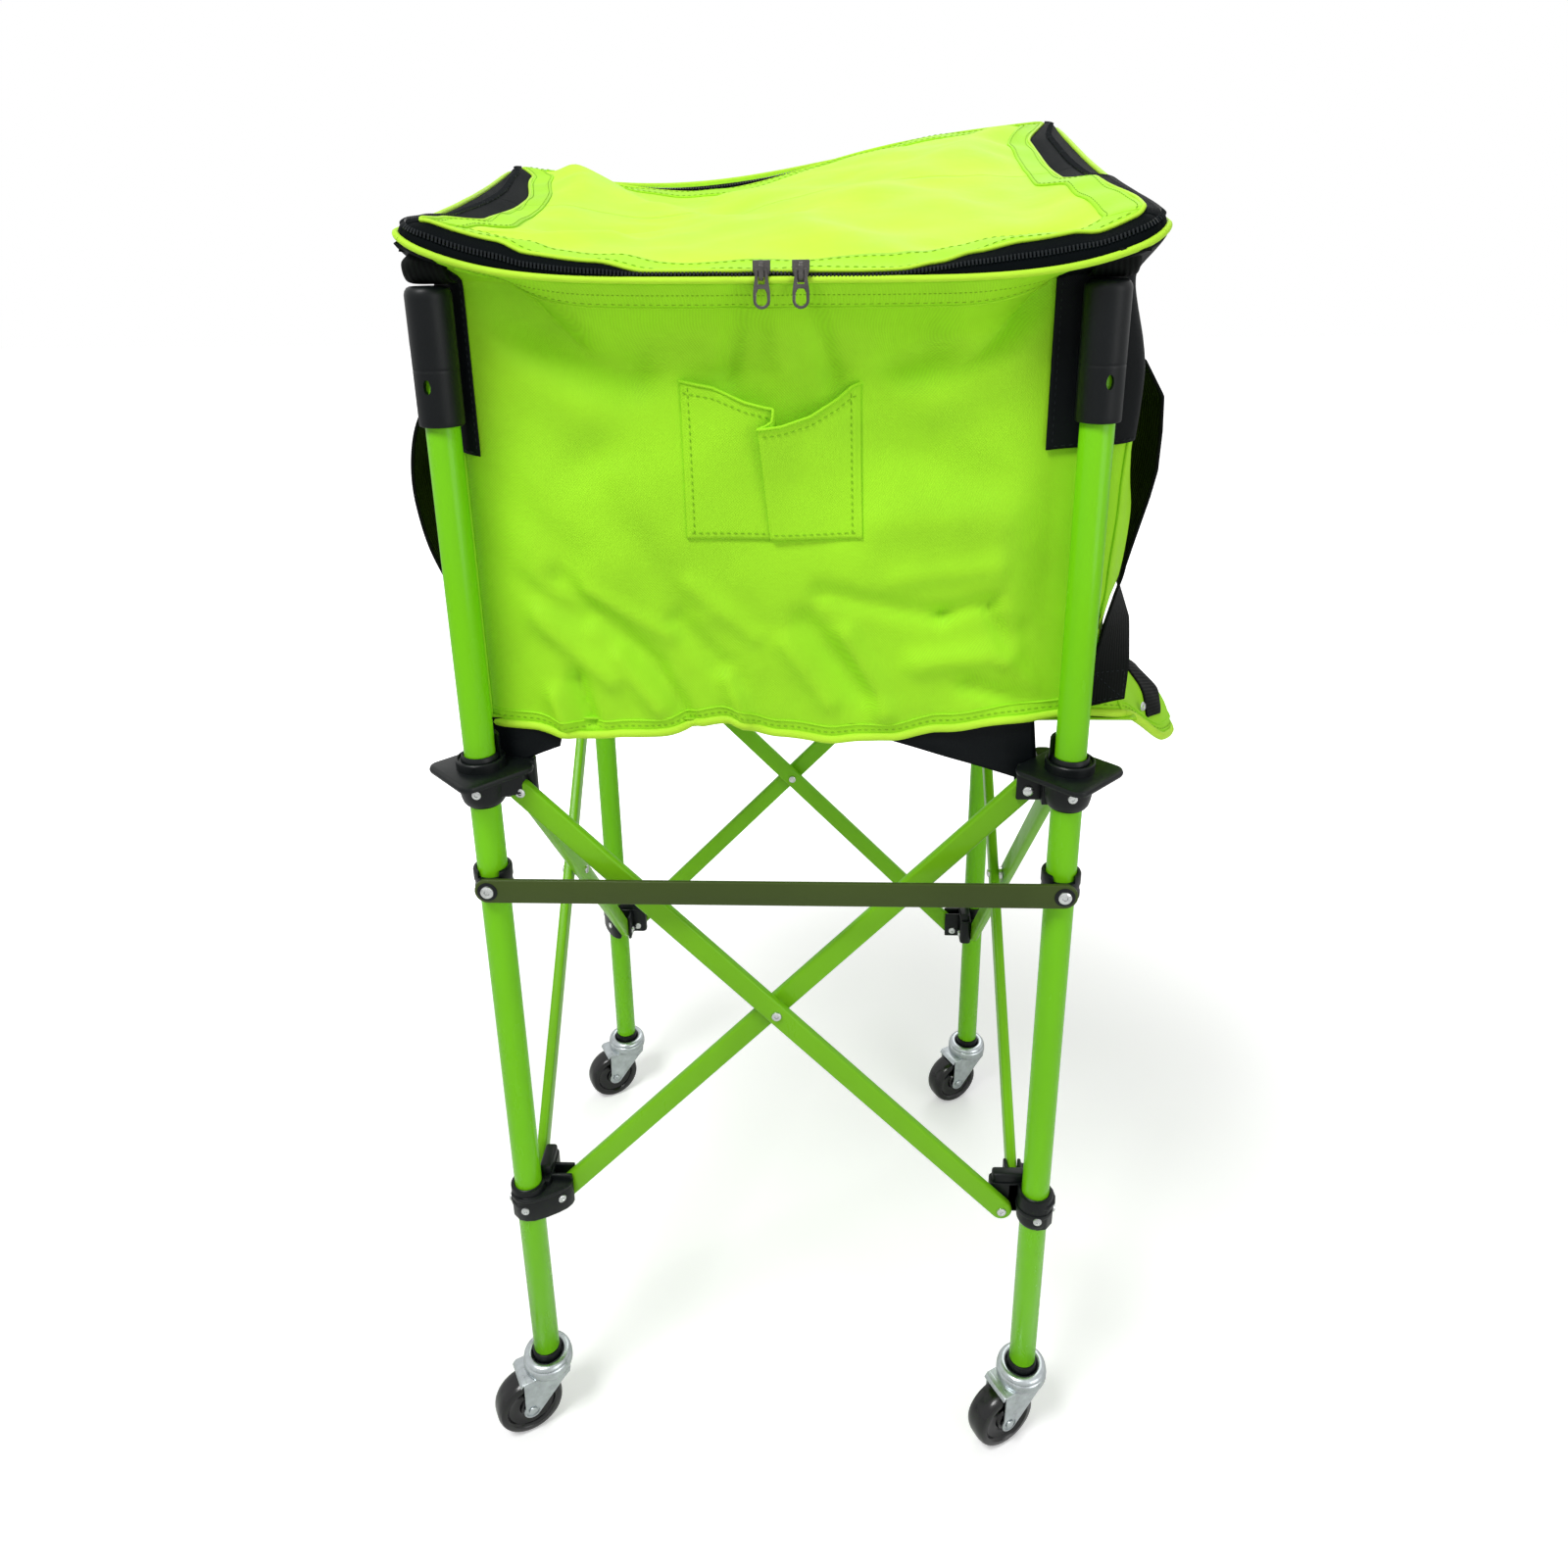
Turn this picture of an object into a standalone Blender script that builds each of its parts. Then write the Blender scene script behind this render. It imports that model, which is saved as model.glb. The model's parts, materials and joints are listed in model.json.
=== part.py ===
"""Folding tennis ball cart. Metres, +Z up, front of the cart toward -Y."""
import bmesh
import bpy
from math import atan2, cos, exp, pi, sin, sqrt
from mathutils import Matrix, Vector

# Clearances
GAP = 0.0003
PIN_PLAY = 0.0003

# Frame: legs stand at the corners of a square, moved so that the whole cart is centred
LEG_SPACING = 0.360
FRAME_X = -0.0185
LEG_RADIUS = 0.0095
LEG_WALL = 0.0012
LEG_FOOT_Z = 0.070
LEG_TOP_Z = 0.838
CAP_RADIUS = 0.0125
CAP_BOTTOM_Z = 0.768
CAP_TOP_Z = 0.842
CAP_HOLE_Z = 0.790
CAP_HOLE_TURN = 10.0
COLLAR_RADIUS = 0.0123
BORE_RADIUS = LEG_RADIUS + GAP

# Scissor arms
UPPER_PIVOT_Z = 0.541
LOWER_PIVOT_Z = 0.212
PIVOT_OFFSET = 0.023
ARM_WIDTH = 0.015
ARM_THICK = 0.007
ARM_SKIN = 0.0011
ARM_ROUND = 0.0022
OUTER_ARM_IN = 0.0018
INNER_ARM_IN = 0.0120
PIN_RADIUS = 0.00245
PIN_HOLE = (PIN_RADIUS + PIN_PLAY) / cos(pi / 8)
HEAD_RADIUS = 0.0033
HEAD_THICK = 0.0014
SPACER_RADIUS = 0.0048
ARM_SPAN = LEG_SPACING - 2 * PIVOT_OFFSET
ARM_DROP = UPPER_PIVOT_Z - LOWER_PIVOT_Z
ARM_LENGTH = sqrt(ARM_SPAN ** 2 + ARM_DROP ** 2)
ARM_ANGLE = atan2(ARM_DROP, ARM_SPAN)

# Brackets, in plan: o runs along the ear with the outer arm, i along the ear with the fork
EAR_END = 0.031
CHEEK_THICK = 0.0026
CHEEK_FRONT = INNER_ARM_IN - ARM_THICK / 2 - GAP - CHEEK_THICK
CHEEK_BACK = INNER_ARM_IN + ARM_THICK / 2 + GAP
BLOCK_END = 0.016
EAR_STEP = 0.0002
POCKET_START = PIVOT_OFFSET - ARM_WIDTH / 2 - GAP
UPPER_BODY_BOTTOM = 0.534
PLATE_BOTTOM = 0.5585
PLATE_TOP = 0.5655
PLATE_REACH = 0.0375
PLATE_ROUND = 0.009
LOWER_BODY_BOTTOM = 0.205
LOWER_COLLAR_TOP = 0.231
LOWER_BLOCK_TOP = 0.237
CUT_REACH = 0.023

# Lock bar and saddle clamps
BAR_Z = 0.4785
BAR_HEIGHT = 0.015
BAR_THICK = 0.003
BAR_BACK = COLLAR_RADIUS + GAP
CLAMP_HEIGHT = 0.014
STUD_RADIUS = 0.0025
STUD_HEAD = 0.0042
SLOT_LEAN = atan2(0.329, 0.900)
SLOT_MOUTH = 0.0062

# Casters
WHEEL_RADIUS = 0.025
WHEEL_WIDTH = 0.019
WHEEL_STEPS = 24
AXLE_RADIUS = 0.003
TRAIL = 0.018
TRAIL_TURN = 210.0
RING_RADIUS = 0.0185
RING_TOP = 0.0655
RING_HOLE = 0.0112
FORK_SKIN = 0.002
FORK_INNER = WHEEL_WIDTH / 2 + 0.0008
FLANGE_RADIUS = 0.0105
FLANGE_BOTTOM = 0.0575
INSERT_TOP = 0.095
STEM_RADIUS = 0.004
STEM_BOTTOM = 0.0505

# Bag, as offsets from the middle of the four legs
SKIN = 0.0025
BAG_OUT_LEFT = 0.002
BAG_OUT_RIGHT = 0.020
BAG_LEFT = -(LEG_SPACING / 2 + BAG_OUT_LEFT)
BAG_RIGHT = LEG_SPACING / 2 + BAG_OUT_RIGHT
BAG_FRONT = -(LEG_SPACING / 2 - CAP_RADIUS - GAP)
BAG_REAR = -BAG_FRONT
BAG_BOTTOM = 0.580
FLARE_CORNER = 0.8435
FLARE_MIDDLE = 0.795
RIM_OUT_FRONT = 0.020
RIM_OUT_REAR = 0.012
RIM_OUT_FL = 0.010
RIM_OUT_FR = 0.026
RIM_OUT_RR = 0.033
RIM_OUT_RL = 0.045
RIM_Z_FL = 0.867
RIM_Z_FR = 0.865
RIM_Z_RR = 0.943
RIM_Z_RL = 0.916
RIM_FL = (-LEG_SPACING / 2 - RIM_OUT_FL, -LEG_SPACING / 2 - RIM_OUT_FRONT, RIM_Z_FL)
RIM_FR = (LEG_SPACING / 2 + RIM_OUT_FR, -LEG_SPACING / 2 - RIM_OUT_FRONT, RIM_Z_FR)
RIM_RR = (LEG_SPACING / 2 + RIM_OUT_RR, LEG_SPACING / 2 + RIM_OUT_REAR, RIM_Z_RR)
RIM_RL = (-LEG_SPACING / 2 - RIM_OUT_RL, LEG_SPACING / 2 + RIM_OUT_REAR, RIM_Z_RL)
RIM_SAG_FRONT = 0.019
RIM_SAG_REAR = 0.0170
RIM_SAG_LEAN = 0.8  # how far the rear rim's dip sits toward the left
RIM_SAG_SIDE = 0.004
RIM_SLANT = 0.0010
LID_EDGE = 0.020
LID_BASE = 0.0075
LID_RISE_CORNER = 0.0144
LID_RISE_FRONT = 0.0034
LID_RISE_REAR = 0.006
LID_RISE_VALLEY = 0.003
LID_HUMP = 0.016
LID_SHOULDER = 0.008
LID_VALLEY = 0.016
LID_SWELL = 0.010
LID_DIP = 0.005
LID_BORDER = 0.72
LID_SEAT = 0.0007
FLAP_REACH = 0.062
FLAP_START = 0.030
FLAP_DROP = 0.027
FLAP_TOP = 0.645
FLOOR_Z = 0.583
FLOOR_THICK = 0.003
FLOOR_PLAY = 0.0016
POCKET_LEFT = -0.048
POCKET_RIGHT = 0.052
POCKET_BOTTOM = 0.701
POCKET_TOP = 0.790
POCKET_SKIN = 0.0015
POCKET_BULGE = 0.009
STRAP_WIDTH = 0.038
STRAP_THICK = 0.0024
STRAP_Y = -0.112
STRAP_TOP_Z = 0.795
STRAP_BOTTOM_Z = 0.605
STRAP_BULGE_RIGHT = 0.034
STRAP_BULGE_LEFT = 0.034
STRAP_TAB = 0.022
STRAP_SEAT = 0.0007

# Zip sliders and pulls
SLIDER_X = (0.000, 0.020)
SLIDER_Z = 0.848
SLIDER_WIDTH = 0.009
SLIDER_HEIGHT = 0.011
SLIDER_DEPTH = 0.003
BRIDGE_WIDTH = 0.0024
BRIDGE_DEPTH = 0.007
PULL_PIVOT_Y = 0.0045
PULL_PIVOT_Z = 0.001
PULL_LENGTH = 0.020
PULL_WIDTH = 0.0088
PULL_THICK = 0.0011

CORNERS = {"fl": (-1, -1), "fr": (1, -1), "rr": (1, 1), "rl": (-1, 1)}
CORNER_TURN = {"fl": 0, "fr": 90, "rr": 180, "rl": 270}
SIDES = {
    "front": ("fl", "fr", 0),
    "right": ("fr", "rr", 90),
    "rear": ("rr", "rl", 180),
    "left": ("rl", "fl", 270),
}


def clear_scene():
    for item in list(bpy.data.objects):
        bpy.data.objects.remove(item, do_unlink=True)


def deg(value):
    return value * pi / 180


def smooth(value):
    value = min(max(value, 0.0), 1.0)
    return value * value * (3 - 2 * value)


def mix(a, b, t):
    return a + (b - a) * t


def leg_at(corner):
    sx, sy = CORNERS[corner]
    return Vector((FRAME_X + sx * LEG_SPACING / 2, sy * LEG_SPACING / 2, 0))


def circle(radius, steps, centre=(0.0, 0.0), start=0.0, turn=2 * pi):
    count = steps if turn >= 2 * pi - 1e-9 else steps + 1
    return [
        (centre[0] + radius * cos(start + turn * k / steps), centre[1] + radius * sin(start + turn * k / steps))
        for k in range(count)
    ]


def stadium(length, radius, steps):
    """Outline of a bar between two end centres, the first at the origin, the second at +X."""
    left = circle(radius, steps, (0, 0), pi / 2, pi)
    right = circle(radius, steps, (length, 0), -pi / 2, pi)
    return left + right


def ring(bm, points, z):
    return [bm.verts.new((x, y, z)) for x, y in points]


def skirt(bm, low, high):
    for k in range(len(low)):
        j = (k + 1) % len(low)
        bm.faces.new((low[k], low[j], high[j], high[k]))


def fill(bm, *loops):
    edges = []
    for loop in loops:
        for a, b in zip(loop, loop[1:] + loop[:1]):
            edges.append(bm.edges.get((a, b)) or bm.edges.new((a, b)))
    bmesh.ops.triangle_fill(bm, use_beauty=True, use_dissolve=False, edges=edges, normal=(0, 0, 1))


def plate(bm, outline, holes, low, high):
    """A flat plate along Z with round or shaped holes."""
    bottoms = [ring(bm, points, low) for points in [outline] + holes]
    tops = [ring(bm, points, high) for points in [outline] + holes]
    for bottom, top in zip(bottoms, tops):
        skirt(bm, bottom, top)
    fill(bm, *bottoms)
    fill(bm, *tops)


def lathe(bm, profile, steps, closed):
    """Turn a profile of (radius, height) points round Z."""
    verts = [bm.verts.new((r, 0, z)) for r, z in profile]
    pairs = list(zip(verts, verts[1:]))
    if closed:
        pairs.append((verts[-1], verts[0]))
    edges = [bm.edges.new(pair) for pair in pairs]
    bmesh.ops.spin(
        bm, geom=verts + edges, cent=(0, 0, 0), axis=(0, 0, 1), angle=2 * pi, steps=steps, use_merge=True
    )
    bmesh.ops.remove_doubles(bm, verts=bm.verts[:], dist=0.000001)


def finish_mesh(bm, name):
    bmesh.ops.recalc_face_normals(bm, faces=bm.faces[:])
    mesh = bpy.data.meshes.new(name)
    bm.to_mesh(mesh)
    bm.free()
    return mesh


def combine(name, base, steps):
    """Join or cut solids with exact Booleans and keep the result as one mesh."""
    scene = bpy.context.scene.collection
    body = bpy.data.objects.new(name, base)
    scene.objects.link(body)
    tools = []
    for operation, mesh in steps:
        tool = bpy.data.objects.new(name + "_tool", mesh)
        scene.objects.link(tool)
        tools.append(tool)
        modifier = body.modifiers.new(operation.lower(), "BOOLEAN")
        modifier.operation = operation
        modifier.solver = "EXACT"
        modifier.object = tool
    bpy.context.view_layer.update()
    graph = bpy.context.evaluated_depsgraph_get()
    result = bpy.data.meshes.new_from_object(body.evaluated_get(graph))
    result.name = name
    for item in tools + [body]:
        bpy.data.objects.remove(item, do_unlink=True)
    tidy = bmesh.new()
    tidy.from_mesh(result)
    bmesh.ops.remove_doubles(tidy, verts=tidy.verts[:], dist=0.000005)
    bmesh.ops.dissolve_degenerate(tidy, dist=0.000005, edges=tidy.edges[:])
    bmesh.ops.triangulate(tidy, faces=tidy.faces[:])
    tidy.to_mesh(result)
    tidy.free()
    return result


def material(name, colour, rough, metal=0.0):
    item = bpy.data.materials.new(name)
    item.use_nodes = True
    shader = item.node_tree.nodes["Principled BSDF"]
    shader.inputs["Base Color"].default_value = (*colour, 1.0)
    shader.inputs["Roughness"].default_value = rough
    shader.inputs["Metallic"].default_value = metal
    item.diffuse_color = (*colour, 1.0)
    return item


def body(name, place, parent=None):
    """An empty on a body's joint axis."""
    empty = bpy.data.objects.new(name, None)
    empty.empty_display_size = 0.02
    bpy.context.scene.collection.objects.link(empty)
    empty["place"] = list(place)
    base = Vector(parent["place"]) if parent else Vector((0, 0, 0))
    empty.parent = parent
    empty.location = Vector(place) - base
    return empty


def add(name, mesh, paint, place, parent, turn=None):
    """A named piece at a world place, parented to its body's empty."""
    mesh.materials.clear()
    mesh.materials.append(paint)
    item = bpy.data.objects.new(name, mesh)
    bpy.context.scene.collection.objects.link(item)
    item.parent = parent
    item.location = Vector(place) - Vector(parent["place"])
    if turn is not None:
        item.rotation_euler = turn.to_euler()
    return item


def leg_mesh():
    bm = bmesh.new()
    outer = circle(LEG_RADIUS, 20)
    inner = circle(LEG_RADIUS - LEG_WALL, 20)
    plate(bm, outer, [inner], LEG_FOOT_Z, LEG_TOP_Z)
    return finish_mesh(bm, "leg")


def cap_mesh():
    bm = bmesh.new()
    roof = LEG_TOP_Z + GAP
    profile = [
        (0, roof), (BORE_RADIUS, roof), (BORE_RADIUS, CAP_BOTTOM_Z), (CAP_RADIUS, CAP_BOTTOM_Z),
        (CAP_RADIUS, CAP_TOP_Z - 0.0016), (CAP_RADIUS - 0.0005, CAP_TOP_Z - 0.0005),
        (CAP_RADIUS - 0.0016, CAP_TOP_Z), (0, CAP_TOP_Z),
    ]
    lathe(bm, profile, 20, False)
    base = finish_mesh(bm, "leg_cap")
    hole = bmesh.new()
    outline = [(x * 0.0021, z * 0.0040) for x, z in circle(1.0, 16)]
    plate(hole, outline, [], 0.0, 0.02)
    turn = Matrix.Rotation(deg(90), 4, "X")
    hole.transform(Matrix.Translation((0, 0, CAP_HOLE_Z)) @ turn)
    return combine("leg_cap", base, [("DIFFERENCE", finish_mesh(hole, "oval"))])


def cylinder_mesh(radius, start, end, steps, axis, centre):
    """A plain cylinder along the o axis (X) or the i axis (Y)."""
    bm = bmesh.new()
    plate(bm, circle(radius, steps, (0, 0), pi / steps), [], start, end)
    if axis == "X":
        turn = Matrix.Rotation(deg(90), 4, "Y")
    else:
        turn = Matrix.Rotation(deg(-90), 4, "X")
    bm.transform(Matrix.Translation(centre) @ turn)
    return finish_mesh(bm, "cylinder")


def prism_mesh(outline, holes, low, high):
    bm = bmesh.new()
    plate(bm, outline, holes, low, high)
    return finish_mesh(bm, "prism")


def ear_parts(low, high):
    """The outer-arm block and the fork, as two plan outlines."""
    front, back = CHEEK_FRONT, CHEEK_BACK + CHEEK_THICK
    block = [(0, front), (EAR_END, front), (EAR_END, BLOCK_END), (back - 0.0004, BLOCK_END)]
    block += [(back - 0.0004, POCKET_START - 0.0002), (0, POCKET_START - 0.0002)]
    fork = [
        (front, front + 0.0004), (back, front + 0.0004), (back, EAR_END), (CHEEK_BACK, EAR_END),
        (CHEEK_BACK, POCKET_START), (CHEEK_FRONT + CHEEK_THICK, POCKET_START),
        (CHEEK_FRONT + CHEEK_THICK, EAR_END), (front, EAR_END),
    ]
    first = prism_mesh(block, [], low + EAR_STEP, high[0])
    return first, prism_mesh(fork, [], low + 2 * EAR_STEP, high[1])


def bracket_cuts(pivot_z, low, high):
    leg = prism_mesh(circle(BORE_RADIUS / cos(pi / 20), 20), [], low, high)
    pin_o = cylinder_mesh(PIN_HOLE, -0.002, 0.030, 8, "Y", (PIVOT_OFFSET, 0, pivot_z))
    pin_i = cylinder_mesh(PIN_HOLE, -0.002, 0.030, 8, "X", (0, PIVOT_OFFSET, pivot_z))
    return [("DIFFERENCE", leg), ("DIFFERENCE", pin_o), ("DIFFERENCE", pin_i)]


def upper_bracket_mesh():
    low, high = UPPER_BODY_BOTTOM, PLATE_BOTTOM + 0.001
    block, fork = ear_parts(low, (high, high + EAR_STEP))
    base = prism_mesh(circle(COLLAR_RADIUS, 20), [], low, PLATE_TOP + 0.003)
    corners = []
    for k in range(4):
        middle = k * pi / 2
        reach = PLATE_REACH - PLATE_ROUND
        centre = (reach * cos(middle), reach * sin(middle))
        corners += circle(PLATE_ROUND, 5, centre, middle - pi / 4, pi / 2)
    table = prism_mesh(corners, [], PLATE_BOTTOM, PLATE_TOP)
    joins = [("UNION", block), ("UNION", fork), ("UNION", table)]
    cuts = bracket_cuts(UPPER_PIVOT_Z, UPPER_BODY_BOTTOM - CUT_REACH, PLATE_TOP + CUT_REACH)
    return combine("upper_bracket", base, joins + cuts)


def lower_bracket_mesh():
    low = LOWER_BODY_BOTTOM
    block, fork = ear_parts(low, (LOWER_BLOCK_TOP, LOWER_COLLAR_TOP - 0.001))
    base = prism_mesh(circle(COLLAR_RADIUS, 20), [], low, LOWER_COLLAR_TOP)
    joins = [("UNION", block), ("UNION", fork)]
    cuts = bracket_cuts(LOWER_PIVOT_Z, LOWER_BODY_BOTTOM - CUT_REACH, LOWER_BLOCK_TOP + CUT_REACH)
    result = combine("lower_bracket", base, joins + cuts)
    flip = bmesh.new()
    flip.from_mesh(result)
    flip.transform(Matrix.Scale(-1, 4, (0, 1, 0)))
    bmesh.ops.reverse_faces(flip, faces=flip.faces[:])
    flip.to_mesh(result)
    flip.free()
    return result


def arm_mesh(origin, kind):
    """Flat tube with rounded ends, one free hole where it crosses its partner and a fused pin at each end.

    Origin 0 is at its upper pin, 0.5 at its crossing. On an outer arm local +Y points into the cart."""
    bm = bmesh.new()
    half, radius = ARM_THICK / 2, ARM_WIDTH / 2
    middle = (ARM_LENGTH / 2, 0)
    sides = []
    for side in (-1, 1):
        rows = []
        for depth, inset in ((0.0, 0.8), (0.8, 0.0)):
            z = side * (half - depth * ARM_ROUND)
            rows.append(ring(bm, stadium(ARM_LENGTH, radius - inset * ARM_ROUND, 7), z))
        skirt(bm, rows[0], rows[1])
        mouth = ring(bm, circle(PIN_HOLE, 10, middle), side * half)
        throat = ring(bm, circle(PIN_HOLE, 10, middle), side * (half - ARM_SKIN))
        room = ring(bm, stadium(ARM_LENGTH, radius - ARM_SKIN - 0.0006, 5), side * (half - ARM_SKIN))
        skirt(bm, mouth, throat)
        fill(bm, rows[0], mouth)
        fill(bm, room, throat)
        sides.append((rows[1], room))
    skirt(bm, sides[0][0], sides[1][0])
    skirt(bm, sides[0][1], sides[1][1])
    bm.transform(Matrix.Rotation(deg(-90), 4, "X"))
    base = finish_mesh(bm, "arm")
    joins = []
    seat = 0.0001
    for x in (0, ARM_LENGTH):
        if kind == "outer":
            head, tail = -half + seat, BLOCK_END - OUTER_ARM_IN + GAP
        else:
            tail = half + 2 * GAP + CHEEK_THICK
            head = -tail
        joins.append(("UNION", rivet_mesh(x, head, tail)))
    result = combine(kind + "_arm", base, joins)
    result.transform(Matrix.Translation((-origin * ARM_LENGTH, 0, 0)))
    return result


def rivet_mesh(x, head, tail, spacer=None):
    """A rivet along +Y at x along the arm; head and tail are the inner faces of its two heads."""
    bm = bmesh.new()
    profile = [(0, head - HEAD_THICK), (HEAD_RADIUS * 0.72, head - HEAD_THICK)]
    profile += [(HEAD_RADIUS, head - HEAD_THICK * 0.45), (HEAD_RADIUS, head), (PIN_RADIUS, head)]
    if spacer:
        profile += [(PIN_RADIUS, spacer[0]), (SPACER_RADIUS, spacer[0])]
        profile += [(SPACER_RADIUS, spacer[1]), (PIN_RADIUS, spacer[1])]
    profile += [(PIN_RADIUS, tail), (HEAD_RADIUS, tail), (HEAD_RADIUS, tail + HEAD_THICK * 0.55)]
    profile += [(HEAD_RADIUS * 0.72, tail + HEAD_THICK), (0, tail + HEAD_THICK)]
    lathe(bm, profile, 8, False)
    bm.transform(Matrix.Translation((x, 0, 0)) @ Matrix.Rotation(deg(-90), 4, "X"))
    return finish_mesh(bm, "rivet")


def crossing_rivet_mesh():
    """Rivet where two arms cross, with a shoulder that keeps them apart; its origin is in the outer arm."""
    head = -ARM_THICK / 2 - GAP
    far = INNER_ARM_IN - OUTER_ARM_IN + ARM_THICK / 2 + GAP
    shoulder = (ARM_THICK / 2 + GAP, INNER_ARM_IN - OUTER_ARM_IN - ARM_THICK / 2 - GAP)
    return rivet_mesh(0, head, far, shoulder)


def clamp_mesh():
    """Saddle clamp round a leg with the pin that carries the lock bar; the pin points to -Y."""
    low, high = BAR_Z - CLAMP_HEIGHT / 2, BAR_Z + CLAMP_HEIGHT / 2
    bore = circle(BORE_RADIUS / cos(pi / 20), 20)
    base = prism_mesh(circle(COLLAR_RADIUS, 20, (0, 0), pi / 20), [bore], low, high)
    bm = bmesh.new()
    front = BAR_BACK + BAR_THICK + GAP
    profile = [(0, BORE_RADIUS + 0.0008), (STUD_RADIUS, BORE_RADIUS + 0.0008), (STUD_RADIUS, front)]
    profile += [(STUD_HEAD, front), (STUD_HEAD, front + 0.0008), (STUD_HEAD * 0.6, front + 0.0016)]
    profile += [(0, front + 0.0018)]
    lathe(bm, profile, 14, False)
    bm.transform(Matrix.Translation((0, 0, BAR_Z)) @ Matrix.Rotation(deg(90), 4, "X"))
    return combine("bar_clamp", base, [("UNION", finish_mesh(bm, "stud"))])


def bar_mesh():
    """Lock bar with a pin hole at its left end and an open slot at its right end."""
    bm = bmesh.new()
    radius = BAR_HEIGHT / 2
    hole = STUD_RADIUS + PIN_PLAY
    lean = Vector((-sin(SLOT_LEAN), cos(SLOT_LEAN)))
    side = Vector((cos(SLOT_LEAN), sin(SLOT_LEAN)))
    stud = Vector((LEG_SPACING, 0))
    mouth_left = -SLOT_MOUTH / 2
    mouth_right = SLOT_MOUTH / 2
    reach_left = (radius - side.y * mouth_left) / lean.y
    left_top = stud + lean * reach_left + side * mouth_left
    reach_right = 0.0065
    right_top = stud + lean * reach_right + side * mouth_right
    turn_top = atan2(right_top.y, right_top.x - LEG_SPACING)
    outline = circle(radius, 10, (0, 0), pi / 2, pi)
    outline += circle(radius, 12, (LEG_SPACING, 0), -pi / 2, turn_top + pi / 2)
    start = SLOT_LEAN
    outline += [tuple(stud + Vector((hole * cos(start), hole * sin(start))))]
    outline += circle(hole, 8, tuple(stud), start, -pi)[1:]
    outline += [tuple(left_top)]
    plate(bm, outline, [circle(hole, 16)], -BAR_THICK / 2, BAR_THICK / 2)
    bm.transform(Matrix.Rotation(deg(90), 4, "X"))
    return finish_mesh(bm, "lock_bar")


def stem_mesh():
    bm = bmesh.new()
    insert = LEG_RADIUS - LEG_WALL - GAP
    top = LEG_FOOT_Z - GAP
    profile = [
        (0, STEM_BOTTOM - 0.0008), (STEM_RADIUS + 0.0016, STEM_BOTTOM - 0.0008),
        (STEM_RADIUS + 0.0016, STEM_BOTTOM + 0.0008), (STEM_RADIUS, STEM_BOTTOM + 0.0008),
        (STEM_RADIUS, FLANGE_BOTTOM), (FLANGE_RADIUS, FLANGE_BOTTOM), (FLANGE_RADIUS, top - 0.0012),
        (FLANGE_RADIUS - 0.0012, top), (insert, top), (insert, INSERT_TOP - 0.002),
        (insert - 0.002, INSERT_TOP), (0, INSERT_TOP),
    ]
    lathe(bm, profile, 16, False)
    return finish_mesh(bm, "caster_stem")


def fork_mesh():
    """Zinc fork: domed ring, top plate, two tapered legs and the riveted axle. Local +X is the trail."""
    hole = STEM_RADIUS + GAP
    plate_low = STEM_BOTTOM + 0.0008 + GAP
    plate_high = plate_low + FORK_SKIN
    bm = bmesh.new()
    profile = [
        (hole, plate_low), (RING_RADIUS - 0.003, plate_low), (RING_RADIUS, plate_high),
        (RING_RADIUS, RING_TOP - 0.006), (RING_RADIUS - 0.0008, RING_TOP - 0.0025),
        (RING_RADIUS - 0.0028, RING_TOP - 0.0006), (RING_RADIUS - 0.0045, RING_TOP),
        (RING_HOLE + 0.0006, RING_TOP - 0.0004), (RING_HOLE, RING_TOP - 0.0016),
        (RING_HOLE, plate_high), (hole, plate_high),
    ]
    lathe(bm, profile, 22, True)
    base = finish_mesh(bm, "caster_fork")
    half = FORK_INNER + FORK_SKIN
    roof = [(-0.006, -half), (TRAIL + 0.004, -half), (TRAIL + 0.004, half), (-0.006, half)]
    lug = prism_mesh(roof, [circle(hole + 0.004, 20)], plate_low + 0.0008, plate_high + 0.0007)
    outline = [(-0.0135, plate_high), (-0.012, plate_low - 0.006)]
    end = circle(0.0068, 10, (TRAIL, WHEEL_RADIUS), pi + 0.85, pi - 0.15)
    outline += end
    outline += [(TRAIL + 0.004, plate_high - 0.003), (TRAIL + 0.004, plate_high + 0.0003)]
    joins = [("UNION", lug)]
    for side in (-1, 1):
        leg = bmesh.new()
        plate(leg, outline, [], -FORK_SKIN / 2, FORK_SKIN / 2)
        leg.transform(Matrix.Rotation(deg(90), 4, "X"))
        leg.transform(Matrix.Translation((0, side * (FORK_INNER + FORK_SKIN / 2), 0)))
        joins.append(("UNION", finish_mesh(leg, "fork_leg")))
    axle = bmesh.new()
    reach = half + 0.0016
    profile = [(0, -reach), (0.0030, -reach), (0.0042, -half - 0.0005), (0.0042, -half + 0.0002)]
    profile += [(AXLE_RADIUS, -half + 0.0002), (AXLE_RADIUS, half - 0.0002)]
    profile += [(0.0042, half - 0.0002), (0.0042, half + 0.0005), (0.0030, reach), (0, reach)]
    lathe(axle, profile, 12, False)
    axle.transform(Matrix.Translation((TRAIL, 0, WHEEL_RADIUS)) @ Matrix.Rotation(deg(90), 4, "X"))
    joins.append(("UNION", finish_mesh(axle, "axle")))
    return combine("caster_fork", base, joins)


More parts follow.
